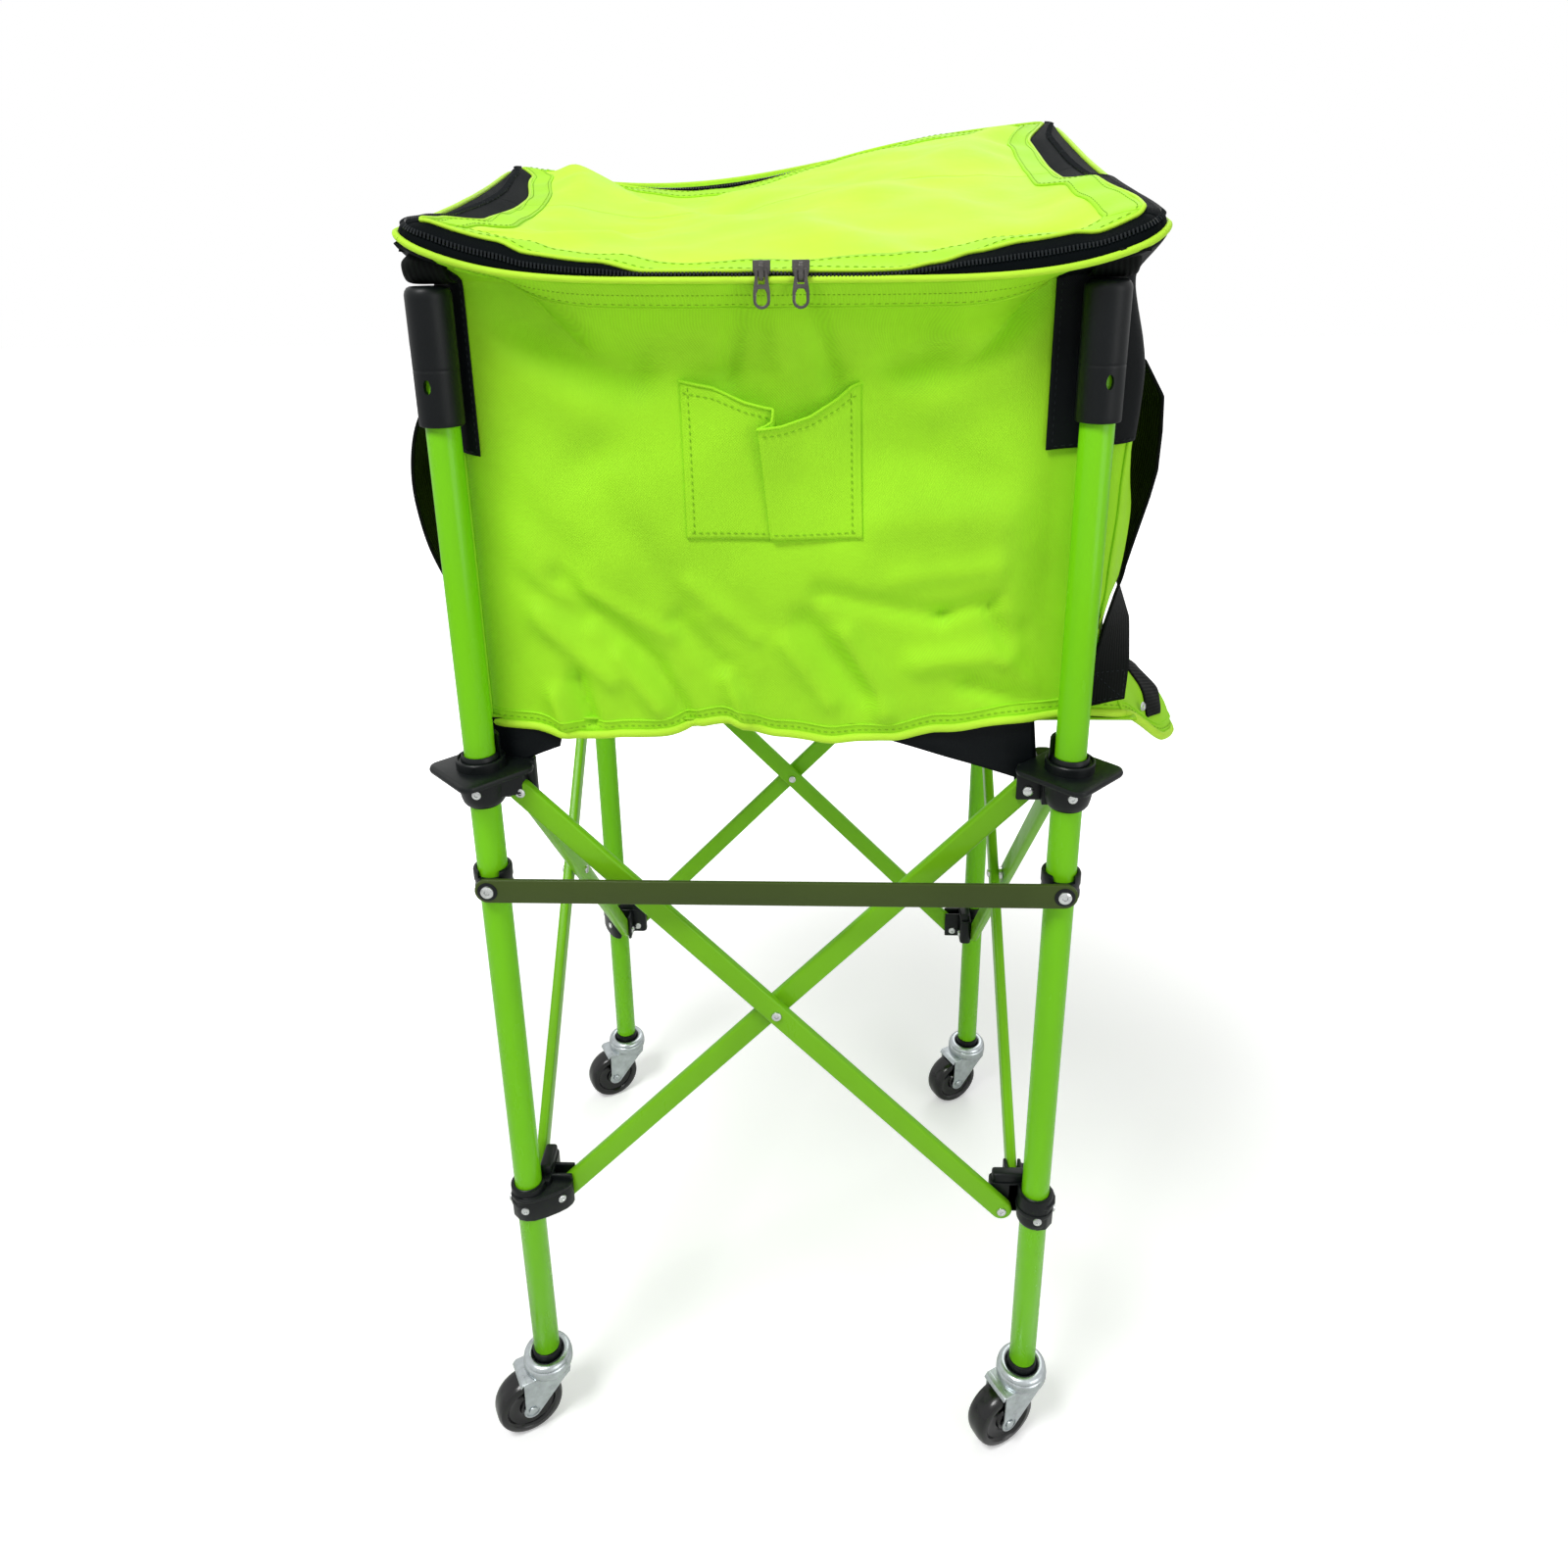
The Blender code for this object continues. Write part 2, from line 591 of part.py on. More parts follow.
def wheel_mesh():
    """Wheel turned round local Y, with one flat facet down."""
    bm = bmesh.new()
    radius = WHEEL_RADIUS / cos(pi / WHEEL_STEPS)
    half = WHEEL_WIDTH / 2
    bore = AXLE_RADIUS + GAP
    profile = [
        (bore, -half + 0.0002), (0.0078, -half + 0.0002), (0.0084, -half + 0.0030), (0.0165, -half + 0.0030),
        (0.0185, -half), (radius - 0.0015, -half + 0.0004), (radius, -half + 0.0028),
        (radius, half - 0.0028), (radius - 0.0015, half - 0.0004), (0.0185, half),
        (0.0165, half - 0.0030), (0.0084, half - 0.0030), (0.0078, half - 0.0002), (bore, half - 0.0002),
    ]
    lathe(bm, profile, WHEEL_STEPS, True)
    bm.transform(Matrix.Rotation(pi / WHEEL_STEPS, 4, "Z"))
    bm.transform(Matrix.Rotation(deg(90), 4, "X"))
    low = min(v.co.z for v in bm.verts)
    spin = Matrix.Rotation(pi / WHEEL_STEPS, 4, "Y") if low < -WHEEL_RADIUS - 0.00002 else Matrix.Identity(4)
    bm.transform(spin)
    return finish_mesh(bm, "wheel")


def sheet_mesh(name, outer, inner):
    """Closed shell between two grids of points."""
    bm = bmesh.new()
    grids = [[[bm.verts.new(p) for p in row] for row in grid] for grid in (outer, inner)]
    rows, cols = len(outer), len(outer[0])
    for grid in grids:
        for r in range(rows - 1):
            for c in range(cols - 1):
                bm.faces.new((grid[r][c], grid[r][c + 1], grid[r + 1][c + 1], grid[r + 1][c]))
    a, b = grids
    for c in range(cols - 1):
        bm.faces.new((a[0][c], a[0][c + 1], b[0][c + 1], b[0][c]))
        bm.faces.new((a[-1][c], a[-1][c + 1], b[-1][c + 1], b[-1][c]))
    for r in range(rows - 1):
        bm.faces.new((a[r][0], a[r + 1][0], b[r + 1][0], b[r][0]))
        bm.faces.new((a[r][-1], a[r + 1][-1], b[r + 1][-1], b[r][-1]))
    bmesh.ops.triangulate(bm, faces=bm.faces[:])
    return finish_mesh(bm, name)


def rim_height(u, v):
    """Height of the rim surface: u from left to right, v from front to rear. The rear rim hangs lowest left of its middle."""
    corner = mix(mix(RIM_FL[2], RIM_FR[2], u), mix(RIM_RL[2], RIM_RR[2], u), v)
    front = RIM_SAG_FRONT * sin(pi * u)
    rear = RIM_SAG_REAR * sin(pi * u) * (1 + RIM_SAG_LEAN * cos(pi * u))
    return corner - mix(front, rear, v) - RIM_SAG_SIDE * sin(pi * v)


def rim_point(u, v):
    x = mix(mix(RIM_FL[0], RIM_FR[0], u), mix(RIM_RL[0], RIM_RR[0], u), v)
    y = mix(mix(RIM_FL[1], RIM_FR[1], u), mix(RIM_RL[1], RIM_RR[1], u), v)
    return x, y, rim_height(u, v)


def flap(v):
    """How far the bottom of the right wall sticks out, from front to rear."""
    if v < 0.2:
        return mix(FLAP_START, FLAP_REACH, smooth(v / 0.2))
    return FLAP_REACH * (1 - smooth((v - 0.2) / 0.6))


def bottom_z(side, t):
    if side == "right":
        return BAG_BOTTOM - FLAP_DROP * (flap(t) / FLAP_REACH)
    if side == "front":
        return BAG_BOTTOM - FLAP_DROP * (FLAP_START / FLAP_REACH) * smooth((t - 0.8) / 0.2)
    if side == "rear":
        return BAG_BOTTOM
    return BAG_BOTTOM


def right_out(v, z):
    return flap(v) * (1 - smooth((z - BAG_BOTTOM + FLAP_DROP) / (FLAP_TOP - BAG_BOTTOM + FLAP_DROP)))


def wall_point(side, t, row):
    """Outer surface of a wall. t runs along it (left to right or front to rear), row from 0 to 12."""
    u, v = {"front": (t, 0), "rear": (t, 1), "left": (0, t), "right": (1, t)}[side]
    along = min(t, 1 - t)
    start = mix(FLARE_CORNER, FLARE_MIDDLE, smooth((along - 0.10) / 0.16))
    rx, ry, rz = rim_point(u, v)
    low = bottom_z(side, t)
    if row <= 7:
        z = mix(low, start, row / 7)
        f = 0.0
    else:
        z = mix(start, rz, (row - 7) / 5)
        f = smooth((row - 7) / 5) * 0.5 + 0.5 * (row - 7) / 5
    x = mix(BAG_LEFT, BAG_RIGHT, u)
    y = mix(BAG_FRONT, BAG_REAR, v)
    if side == "right":
        x += right_out(v, z)
    if side == "front":
        x += right_out(0, z) * smooth((t - 0.75) / 0.25)
    return Vector((mix(x, rx, f) + FRAME_X, mix(y, ry, f), z))


ALONG = [0, 0.05, 0.10, 0.15, 0.20, 0.26, 0.34, 0.42, 0.52, 0.62, 0.72, 0.80, 0.85, 0.90, 0.95, 1.0]


def wall_mesh(side):
    inward = {"front": (0, 1), "rear": (0, -1), "left": (1, 0), "right": (-1, 0)}[side]
    step = Vector((inward[0] * SKIN, inward[1] * SKIN, 0))
    outer, inner = [], []
    for row in range(13):
        line = [wall_point(side, t, row) for t in ALONG]
        if side in ("left", "right"):
            line[0] = line[0] + Vector((0, SKIN + GAP, 0))
            line[-1] = line[-1] - Vector((0, SKIN + GAP, 0))
        outer.append(line)
        drop = Vector((0, 0, RIM_SLANT)) if row == 12 else Vector((0, 0, 0))
        inner.append([p + step - drop for p in line])
    return sheet_mesh("bag_" + side, outer, inner)


def wall_x(side, y, z):
    """Outer surface of a side wall at y and z, read between its grid points, below the flare."""
    t = (y - BAG_FRONT) / (BAG_REAR - BAG_FRONT)
    index = max(k for k in range(len(ALONG) - 1) if ALONG[k] <= t)
    share = (t - ALONG[index]) / (ALONG[index + 1] - ALONG[index])
    found = []
    for k in (index, index + 1):
        rows = [wall_point(side, ALONG[k], row) for row in range(9)]
        row = max(r for r in range(8) if rows[r].z <= z + 1e-9)
        low, high = rows[row], rows[row + 1]
        found.append(mix(low.x, high.x, (z - low.z) / (high.z - low.z)))
    return mix(found[0], found[1], share)


def strap_mesh(side):
    """Webbing handle: two flat ends on the wall and a loop that stands off it."""
    out = 1 if side == "right" else -1
    bulge = STRAP_BULGE_RIGHT if side == "right" else STRAP_BULGE_LEFT
    loop_top, loop_bottom = STRAP_TOP_Z - STRAP_TAB, STRAP_BOTTOM_Z + STRAP_TAB
    heights = [STRAP_TOP_Z] + [mix(loop_top, loop_bottom, k / 12) for k in range(13)] + [STRAP_BOTTOM_Z]
    outer, inner = [], []
    for z in heights:
        t = (loop_top - z) / (loop_top - loop_bottom)
        lift = bulge * sin(pi * t ** 0.85) * (1 - 0.35 * t) if 0 < t < 1 else 0.0
        line = []
        for share in (-0.5, -0.25, 0.0, 0.25, 0.5):
            y = STRAP_Y + share * STRAP_WIDTH
            near = [wall_x(side, y + a, z + b) * out for a in (-0.004, 0, 0.004) for b in (-0.004, 0, 0.004)]
            line.append(Vector((out * (max(near) + STRAP_SEAT + lift), y, z)))
        inner.append(line)
    for k, line in enumerate(inner):
        before, after = inner[max(k - 1, 0)][2], inner[min(k + 1, len(inner) - 1)][2]
        step = after - before
        normal = Vector((-step.z, 0, step.x)).normalized()
        if normal.x * out < 0:
            normal = -normal
        outer.append([point + normal * STRAP_THICK for point in line])
    return sheet_mesh("strap_" + side, outer, inner)


def hump(u, v, middle_u, middle_v, width_u, width_v):
    return exp(-((u - middle_u) / width_u) ** 2 - ((v - middle_v) / width_v) ** 2)


def lid_rise(u, v):
    """How far the lid's edge stands over the rim: most at the front corners, least in the middle of the front."""
    x = mix(RIM_FL[0], RIM_FR[0], u)
    near = max(1 - smooth((x - RIM_FL[0] + 0.005) / 0.110), smooth((x - 0.045) / 0.090))
    front = mix(LID_RISE_FRONT, LID_RISE_CORNER, near)
    rear = LID_RISE_REAR - (LID_RISE_REAR - LID_RISE_VALLEY) * hump(u, 0, 0.34, 0, 0.14, 1)
    return mix(front, rear, smooth(v / 0.6))


def lid_height(u, v):
    """Top of the slack lid: a hump at the rear left, a valley beside it and a swell toward the right."""
    cloth = LID_BASE + LID_HUMP * hump(u, v, 0.13, 0.82, 0.10, 0.24)
    cloth += LID_SHOULDER * hump(u, v, 0.10, 0.45, 0.09, 0.25)
    cloth -= LID_VALLEY * hump(u, v, 0.36, 0.95, 0.13, 0.20)
    cloth += LID_SWELL * hump(u, v, 0.66, 0.50, 0.25, 0.35)
    cloth += LID_SHOULDER * hump(u, v, 0.93, 0.80, 0.10, 0.25)
    cloth -= LID_DIP * hump(u, v, 0.80, 0.12, 0.14, 0.10)
    reach = max(abs(2 * u - 1), abs(2 * v - 1))
    edge = smooth((reach - LID_BORDER) / (1 - LID_BORDER))
    return rim_height(u, v) + LID_SEAT + mix(cloth, lid_rise(u, v), edge)


def lid_mesh(half, centre):
    """One half of the lid: a thin slack sheet with a thicker border that rests over the walls."""
    us = [0, LID_EDGE, LID_EDGE + 0.008] + ALONG[1:-1] + [1 - LID_EDGE - 0.008, 1 - LID_EDGE, 1]
    if half == "front":
        vs = [v for v in us if v < 0.5] + [0.5]
    else:
        vs = [0.5] + [v for v in us if v > 0.5]
    top, under = [], []
    for v in vs:
        top_line, under_line = [], []
        for u in us:
            x, y, z = rim_point(u, v)
            if v == 0.5:
                y += GAP if half == "rear" else -GAP
            border = min(u, v, 1 - u, 1 - v) < LID_EDGE + 0.001
            high = lid_height(u, v)
            low = z + LID_SEAT if border else high - SKIN
            top_line.append(Vector((x + FRAME_X, y, high)) - centre)
            under_line.append(Vector((x + FRAME_X, y, low)) - centre)
        top.append(top_line)
        under.append(under_line)
    return sheet_mesh("lid_" + half, top, under)


def floor_mesh(half, centre):
    """Half of the floor board; its right edge follows the right wall and its flap."""
    edge = SKIN + GAP
    first, last = BAG_FRONT + edge, BAG_REAR - edge
    ys = [mix(BAG_FRONT, BAG_REAR, t) for t in ALONG if 0 < t < 1]
    if half == "front":
        ys = [first] + [y for y in ys if y < 0] + [-GAP / 2]
    else:
        ys = [GAP / 2] + [y for y in ys if y > 0] + [last]
    outline = []
    for y in ys:
        wall = min(wall_x("right", y, FLOOR_Z), wall_x("right", y, FLOOR_Z + FLOOR_THICK))
        outline.append((wall - SKIN - FLOOR_PLAY - centre.x, y - centre.y))
    left = BAG_LEFT + edge + FRAME_X - centre.x
    outline = [(left, outline[0][1])] + outline + [(left, outline[-1][1])]
    low = FLOOR_Z - centre.z
    return prism_mesh(outline, [], low, low + FLOOR_THICK)


def pocket_mesh():
    us = [k / 8 for k in range(9)]
    vs = [0, 0.2, 0.4, 0.6, 0.8, 1.0]
    outer, inner = [], []
    for v in vs:
        out_line, in_line = [], []
        for u in us:
            x = mix(POCKET_LEFT, POCKET_RIGHT, u) + FRAME_X
            dip = 0.014 * (1 - abs(2 * u - 1)) * v
            z = mix(POCKET_BOTTOM, POCKET_TOP - 0.005 * u, v) - dip
            bulge = POCKET_BULGE * sin(pi * u) * v ** 0.6
            out_line.append(Vector((x, BAG_FRONT - GAP - bulge - POCKET_SKIN, z)))
            in_line.append(Vector((x, BAG_FRONT - GAP - bulge, z)))
        outer.append(out_line)
        inner.append(in_line)
    return sheet_mesh("bag_pocket", outer, inner)


def slider_mesh():
    """Zip slider; local -Y points away from the bag."""
    half_w, half_h = SLIDER_WIDTH / 2, SLIDER_HEIGHT / 2
    outline = [
        (-half_w, half_h), (-half_w, 0.001), (-half_w * 0.6, -half_h), (half_w * 0.6, -half_h),
        (half_w, 0.001), (half_w, half_h),
    ]
    bm = bmesh.new()
    plate(bm, outline, [], 0, SLIDER_DEPTH)
    bm.transform(Matrix.Rotation(deg(90), 4, "X"))
    base = finish_mesh(bm, "zip_slider")
    arch = bmesh.new()
    outer = [(0.0026, -0.0045), (0.0056, -0.0045), (BRIDGE_DEPTH, -0.003), (BRIDGE_DEPTH, 0.003)]
    outer += [(0.0056, 0.0045), (0.0026, 0.0045)]
    window = [(0.0034, -0.003), (0.0052, -0.003), (0.0057, -0.0022), (0.0057, 0.0022)]
    window += [(0.0052, 0.003), (0.0034, 0.003)]
    plate(arch, outer, [window], -BRIDGE_WIDTH / 2, BRIDGE_WIDTH / 2)
    shape = Matrix(((0, 0, 1, 0), (-1, 0, 0, 0), (0, 1, 0, 0), (0, 0, 0, 1)))
    arch.transform(shape)
    return combine("zip_slider", base, [("UNION", finish_mesh(arch, "bridge"))])


def pull_mesh():
    """Zip pull hanging from its pivot at the origin."""
    bm = bmesh.new()
    half = PULL_WIDTH / 2
    end = 0.0006 - PULL_LENGTH + half
    outline = [(-0.0030, 0.0006), (-0.0034, -0.004), (-half, -0.011)]
    outline += circle(half, 10, (0, end), pi, pi)
    outline += [(half, -0.011), (0.0034, -0.004), (0.0030, 0.0006)]
    upper = [(-0.0018, -0.0006), (0.0018, -0.0006), (0.0018, -0.0072), (-0.0018, -0.0072)]
    lower = circle(half - 0.0016, 12, (0, end), pi, pi)
    lower += [(half - 0.0018, -0.0115), (0.0016, -0.0094), (-0.0016, -0.0094), (-half + 0.0018, -0.0115)]
    plate(bm, outline, [upper, lower], -PULL_THICK / 2, PULL_THICK / 2)
    bm.transform(Matrix.Rotation(deg(90), 4, "X"))
    return finish_mesh(bm, "zip_pull")


def side_frame(side):
    """Start and end legs of a side and the turns of its outer and inner arms."""
    start, end, turn = SIDES[side]
    along = Vector((cos(deg(turn)), sin(deg(turn)), 0))
    inward = Vector((-sin(deg(turn)), cos(deg(turn)), 0))
    tilt = Matrix.Rotation(ARM_ANGLE, 4, "Y")
    outer_turn = Matrix.Rotation(deg(turn), 4, "Z") @ tilt
    inner_turn = Matrix.Rotation(deg(turn + 180), 4, "Z") @ tilt
    return leg_at(start), leg_at(end), along, inward, outer_turn, inner_turn


def pin_at(corner, side, height, plane):
    """Middle of an arm end on a side's plane: plane is the arm's distance inward."""
    start, end, along, inward, _, _ = side_frame(side)
    leg = leg_at(corner)
    step = along if leg == start else -along
    return leg + step * PIVOT_OFFSET + inward * plane + Vector((0, 0, height))


def crossing(side, plane):
    start, end, along, inward, _, _ = side_frame(side)
    return (start + end) / 2 + inward * plane + Vector((0, 0, (UPPER_PIVOT_Z + LOWER_PIVOT_Z) / 2))


def build():
    clear_scene()
    green = material("leg_paint", (0.24, 0.56, 0.02), 0.28)
    arm_green = material("arm_paint", (0.18, 0.45, 0.02), 0.28)
    olive = material("bar_paint", (0.036, 0.060, 0.008), 0.35)
    black = material("black_plastic", (0.014, 0.020, 0.018), 0.42)
    cap_black = material("cap_plastic", (0.004, 0.007, 0.007), 0.38)
    zinc = material("zinc_plate", (0.36, 0.44, 0.44), 0.28, 1.0)
    rivets = material("rivet_steel", (0.10, 0.12, 0.11), 0.40, 1.0)
    tyre = material("wheel_plastic", (0.003, 0.003, 0.004), 0.22)
    cloth = material("bag_cloth", (0.37, 0.80, 0.02), 0.70)
    lid_cloth = material("lid_cloth", (0.50, 0.88, 0.05), 0.65)
    board = material("floor_board", (0.30, 0.66, 0.02), 0.75)
    webbing = material("webbing", (0.008, 0.014, 0.010), 0.85)
    gunmetal = material("zip_metal", (0.22, 0.21, 0.20), 0.30, 1.0)

    root = body("cart_root", (0, 0, 0))
    axis = {}
    axis["front_outer"] = body("axis_front_outer_arm", pin_at("fl", "front", UPPER_PIVOT_Z, OUTER_ARM_IN), root)
    axis["front_inner"] = body("axis_front_inner_arm", crossing("front", INNER_ARM_IN), axis["front_outer"])
    axis["fr"] = body("axis_leg_fr", pin_at("fr", "front", UPPER_PIVOT_Z, INNER_ARM_IN), axis["front_inner"])
    axis["left_inner"] = body("axis_left_inner_arm", pin_at("fl", "left", UPPER_PIVOT_Z, INNER_ARM_IN), root)
    axis["left_outer"] = body("axis_left_outer_arm", crossing("left", OUTER_ARM_IN), axis["left_inner"])
    axis["rl"] = body("axis_leg_rl", pin_at("rl", "left", UPPER_PIVOT_Z, OUTER_ARM_IN), axis["left_outer"])
    axis["right_outer"] = body(
        "axis_right_outer_arm", pin_at("fr", "right", UPPER_PIVOT_Z, OUTER_ARM_IN), axis["fr"]
    )
    axis["right_inner"] = body("axis_right_inner_arm", crossing("right", INNER_ARM_IN), axis["right_outer"])
    axis["rr"] = body("axis_leg_rr", pin_at("rr", "right", UPPER_PIVOT_Z, INNER_ARM_IN), axis["right_inner"])
    axis["rear_inner"] = body("axis_rear_inner_arm", pin_at("rl", "rear", UPPER_PIVOT_Z, INNER_ARM_IN), axis["rl"])
    axis["rear_outer"] = body("axis_rear_outer_arm", crossing("rear", OUTER_ARM_IN), axis["rear_inner"])
    axis["fl"] = root
    low_fl = pin_at("fl", "front", LOWER_PIVOT_Z, INNER_ARM_IN)
    low_fr = pin_at("fr", "front", LOWER_PIVOT_Z, OUTER_ARM_IN)
    low_rr = pin_at("rr", "right", LOWER_PIVOT_Z, OUTER_ARM_IN)
    low_rl = pin_at("rl", "left", LOWER_PIVOT_Z, INNER_ARM_IN)
    axis["low_fl"] = body("axis_lower_bracket_fl", low_fl, axis["front_inner"])
    axis["low_fr"] = body("axis_lower_bracket_fr", low_fr, axis["front_outer"])
    axis["low_rr"] = body("axis_lower_bracket_rr", low_rr, axis["right_outer"])
    axis["low_rl"] = body("axis_lower_bracket_rl", low_rl, axis["left_inner"])

    leg, cap = leg_mesh(), cap_mesh()
    upper, lower = upper_bracket_mesh(), lower_bracket_mesh()
    stem, fork, wheel = stem_mesh(), fork_mesh(), wheel_mesh()
    trail = Vector((cos(deg(TRAIL_TURN)), sin(deg(TRAIL_TURN)), 0)) * TRAIL
    lower_turn = {"fl": 90, "fr": 180, "rr": 270, "rl": 0}
    cap_turn = {"fl": -CAP_HOLE_TURN, "fr": CAP_HOLE_TURN, "rr": 180 - CAP_HOLE_TURN, "rl": 180 + CAP_HOLE_TURN}
    for corner in CORNERS:
        place = leg_at(corner)
        hub = axis[corner]
        add("leg_" + corner, leg, green, place, hub)
        add("leg_cap_" + corner, cap, cap_black, place, hub, Matrix.Rotation(deg(cap_turn[corner]), 4, "Z"))
        add("upper_bracket_" + corner, upper, black, place, hub, Matrix.Rotation(deg(CORNER_TURN[corner]), 4, "Z"))
        add("lower_bracket_" + corner, lower, black, place, axis["low_" + corner],
            Matrix.Rotation(deg(lower_turn[corner]), 4, "Z"))
        add("caster_stem_" + corner, stem, cap_black, place, hub)
        swivel = body("axis_caster_" + corner, place, hub)
        turn = Matrix.Rotation(deg(TRAIL_TURN), 4, "Z")
        add("caster_fork_" + corner, fork, zinc, place, swivel, turn)
        add("wheel_" + corner, wheel, tyre, place + trail + Vector((0, 0, WHEEL_RADIUS)), swivel, turn)

    meshes = {(kind, at): arm_mesh(at, kind) for kind in ("outer", "inner") for at in (0, 0.5)}
    pin = crossing_rivet_mesh()
    origin = {
        ("front", "outer"): 0, ("front", "inner"): 0.5, ("left", "inner"): 0, ("left", "outer"): 0.5,
        ("right", "outer"): 0, ("right", "inner"): 0.5, ("rear", "inner"): 0, ("rear", "outer"): 0.5,
    }
    for side in SIDES:
        _, _, _, _, outer_turn, inner_turn = side_frame(side)
        for kind, turn in (("outer", outer_turn), ("inner", inner_turn)):
            hub = axis[side + "_" + kind]
            mesh = meshes[(kind, origin[(side, kind)])]
            add(side + "_" + kind + "_arm", mesh, arm_green, Vector(hub["place"]), hub, turn)
        add("crossing_rivet_" + side, pin, rivets, crossing(side, OUTER_ARM_IN), axis[side + "_outer"], outer_turn)

    clamp = clamp_mesh()
    add("bar_clamp_left", clamp, cap_black, leg_at("fl"), root)
    add("bar_clamp_right", clamp, cap_black, leg_at("fr"), axis["fr"])
    bar_place = leg_at("fl") + Vector((0, -BAR_BACK - BAR_THICK / 2, BAR_Z))
    bar_axis = body("axis_lock_bar", bar_place, root)
    add("lock_bar", bar_mesh(), olive, bar_place, bar_axis)

    none = Vector((0, 0, 0))
    add("bag_front", wall_mesh("front"), cloth, none, root)
    add("bag_rear", wall_mesh("rear"), cloth, none, axis["rl"])
    add("bag_left", wall_mesh("left"), cloth, none, root)
    add("bag_right", wall_mesh("right"), cloth, none, axis["fr"])
    add("strap_left", strap_mesh("left"), webbing, none, root)
    add("strap_right", strap_mesh("right"), webbing, none, axis["fr"])
    hinge_z = FLOOR_Z + FLOOR_THICK / 2
    floor_front = Vector((FRAME_X, BAG_FRONT + SKIN + GAP, hinge_z))
    floor_rear = Vector((FRAME_X, BAG_REAR - SKIN - GAP, hinge_z))
    front_axis = body("axis_floor_front", floor_front, root)
    rear_axis = body("axis_floor_rear", floor_rear, axis["rl"])
    add("bag_floor_front", floor_mesh("front", floor_front), board, floor_front, front_axis)
    add("bag_floor_rear", floor_mesh("rear", floor_rear), board, floor_rear, rear_axis)
    lid_hinge = Vector((FRAME_X, RIM_RL[1], rim_height(0.5, 1.0) + LID_RISE_REAR / 2))
    lid_crease = Vector((FRAME_X, rim_point(0.5, 0.5)[1], max(lid_height(u, 0.5) for u in ALONG)))
    lid_axis = body("axis_lid", lid_hinge, axis["rl"])
    crease_axis = body("axis_lid_crease", lid_crease, lid_axis)
    add("lid_rear", lid_mesh("rear", lid_hinge), lid_cloth, lid_hinge, lid_axis)
    add("lid_front", lid_mesh("front", lid_crease), lid_cloth, lid_crease, crease_axis)
    pocket_axis = body("axis_pocket", (FRAME_X, BAG_FRONT, POCKET_BOTTOM), root)
    add("bag_pocket", pocket_mesh(), cloth, none, pocket_axis)
    slider, pull = slider_mesh(), pull_mesh()
    for label, x in zip(("left", "right"), SLIDER_X):
        place = Vector((x + FRAME_X, RIM_FL[1] - GAP, SLIDER_Z))
        slide = body("axis_zip_slider_" + label, place, pocket_axis)
        add("zip_slider_" + label, slider, gunmetal, place, slide)
        pivot = place + Vector((0, -PULL_PIVOT_Y, PULL_PIVOT_Z))
        hang = body("axis_zip_pull_" + label, pivot, slide)
        add("zip_pull_" + label, pull, gunmetal, pivot, hang)

    bpy.context.view_layer.update()
    lows, highs = [9, 9, 9], [-9, -9, -9]
    for item in bpy.data.objects:
        if item.type != "MESH":
            continue
        for vert in item.data.vertices:
            world = item.matrix_world @ vert.co
            for k in range(3):
                lows[k] = min(lows[k], world[k])
                highs[k] = max(highs[k], world[k])
    print("bounds", [round(v, 6) for v in lows], [round(v, 6) for v in highs])
    for item in bpy.data.objects:
        if item.type == "EMPTY":
            print("axis", item.name, [round(v, 6) for v in item["place"]])


build()
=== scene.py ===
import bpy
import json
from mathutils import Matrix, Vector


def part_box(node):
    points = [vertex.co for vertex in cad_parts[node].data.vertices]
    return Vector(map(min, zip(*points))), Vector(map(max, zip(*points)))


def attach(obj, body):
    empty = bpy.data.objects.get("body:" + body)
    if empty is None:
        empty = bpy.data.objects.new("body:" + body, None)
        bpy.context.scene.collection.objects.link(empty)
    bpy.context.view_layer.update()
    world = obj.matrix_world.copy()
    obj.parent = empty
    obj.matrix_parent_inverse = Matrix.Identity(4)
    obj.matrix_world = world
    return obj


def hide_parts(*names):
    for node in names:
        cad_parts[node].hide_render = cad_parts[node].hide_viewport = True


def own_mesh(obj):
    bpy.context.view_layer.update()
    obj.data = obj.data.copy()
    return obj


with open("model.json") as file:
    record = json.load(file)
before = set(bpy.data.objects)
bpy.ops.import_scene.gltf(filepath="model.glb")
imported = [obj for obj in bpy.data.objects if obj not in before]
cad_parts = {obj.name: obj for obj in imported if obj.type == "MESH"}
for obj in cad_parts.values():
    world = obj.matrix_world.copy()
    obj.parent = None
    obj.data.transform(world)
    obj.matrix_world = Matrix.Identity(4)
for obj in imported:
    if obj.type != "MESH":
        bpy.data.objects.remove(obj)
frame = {"nodes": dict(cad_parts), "record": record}

"""Folding tennis ball cart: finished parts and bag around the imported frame. Metres, front toward -Y."""
import json
from math import asin, atan2, cos, hypot, pi, radians, sin

import bmesh
import bpy
from mathutils import Matrix, Vector, noise

bl_info = {
    "name": "Tennis Ball Cart",
    "version": (1, 0, 0),
    "blender": (4, 5, 0),
    "location": "View3D > Sidebar > Ball Cart",
    "description": "Finished frame, casters and zipped bag of a folding tennis ball cart",
    "category": "Object",
}

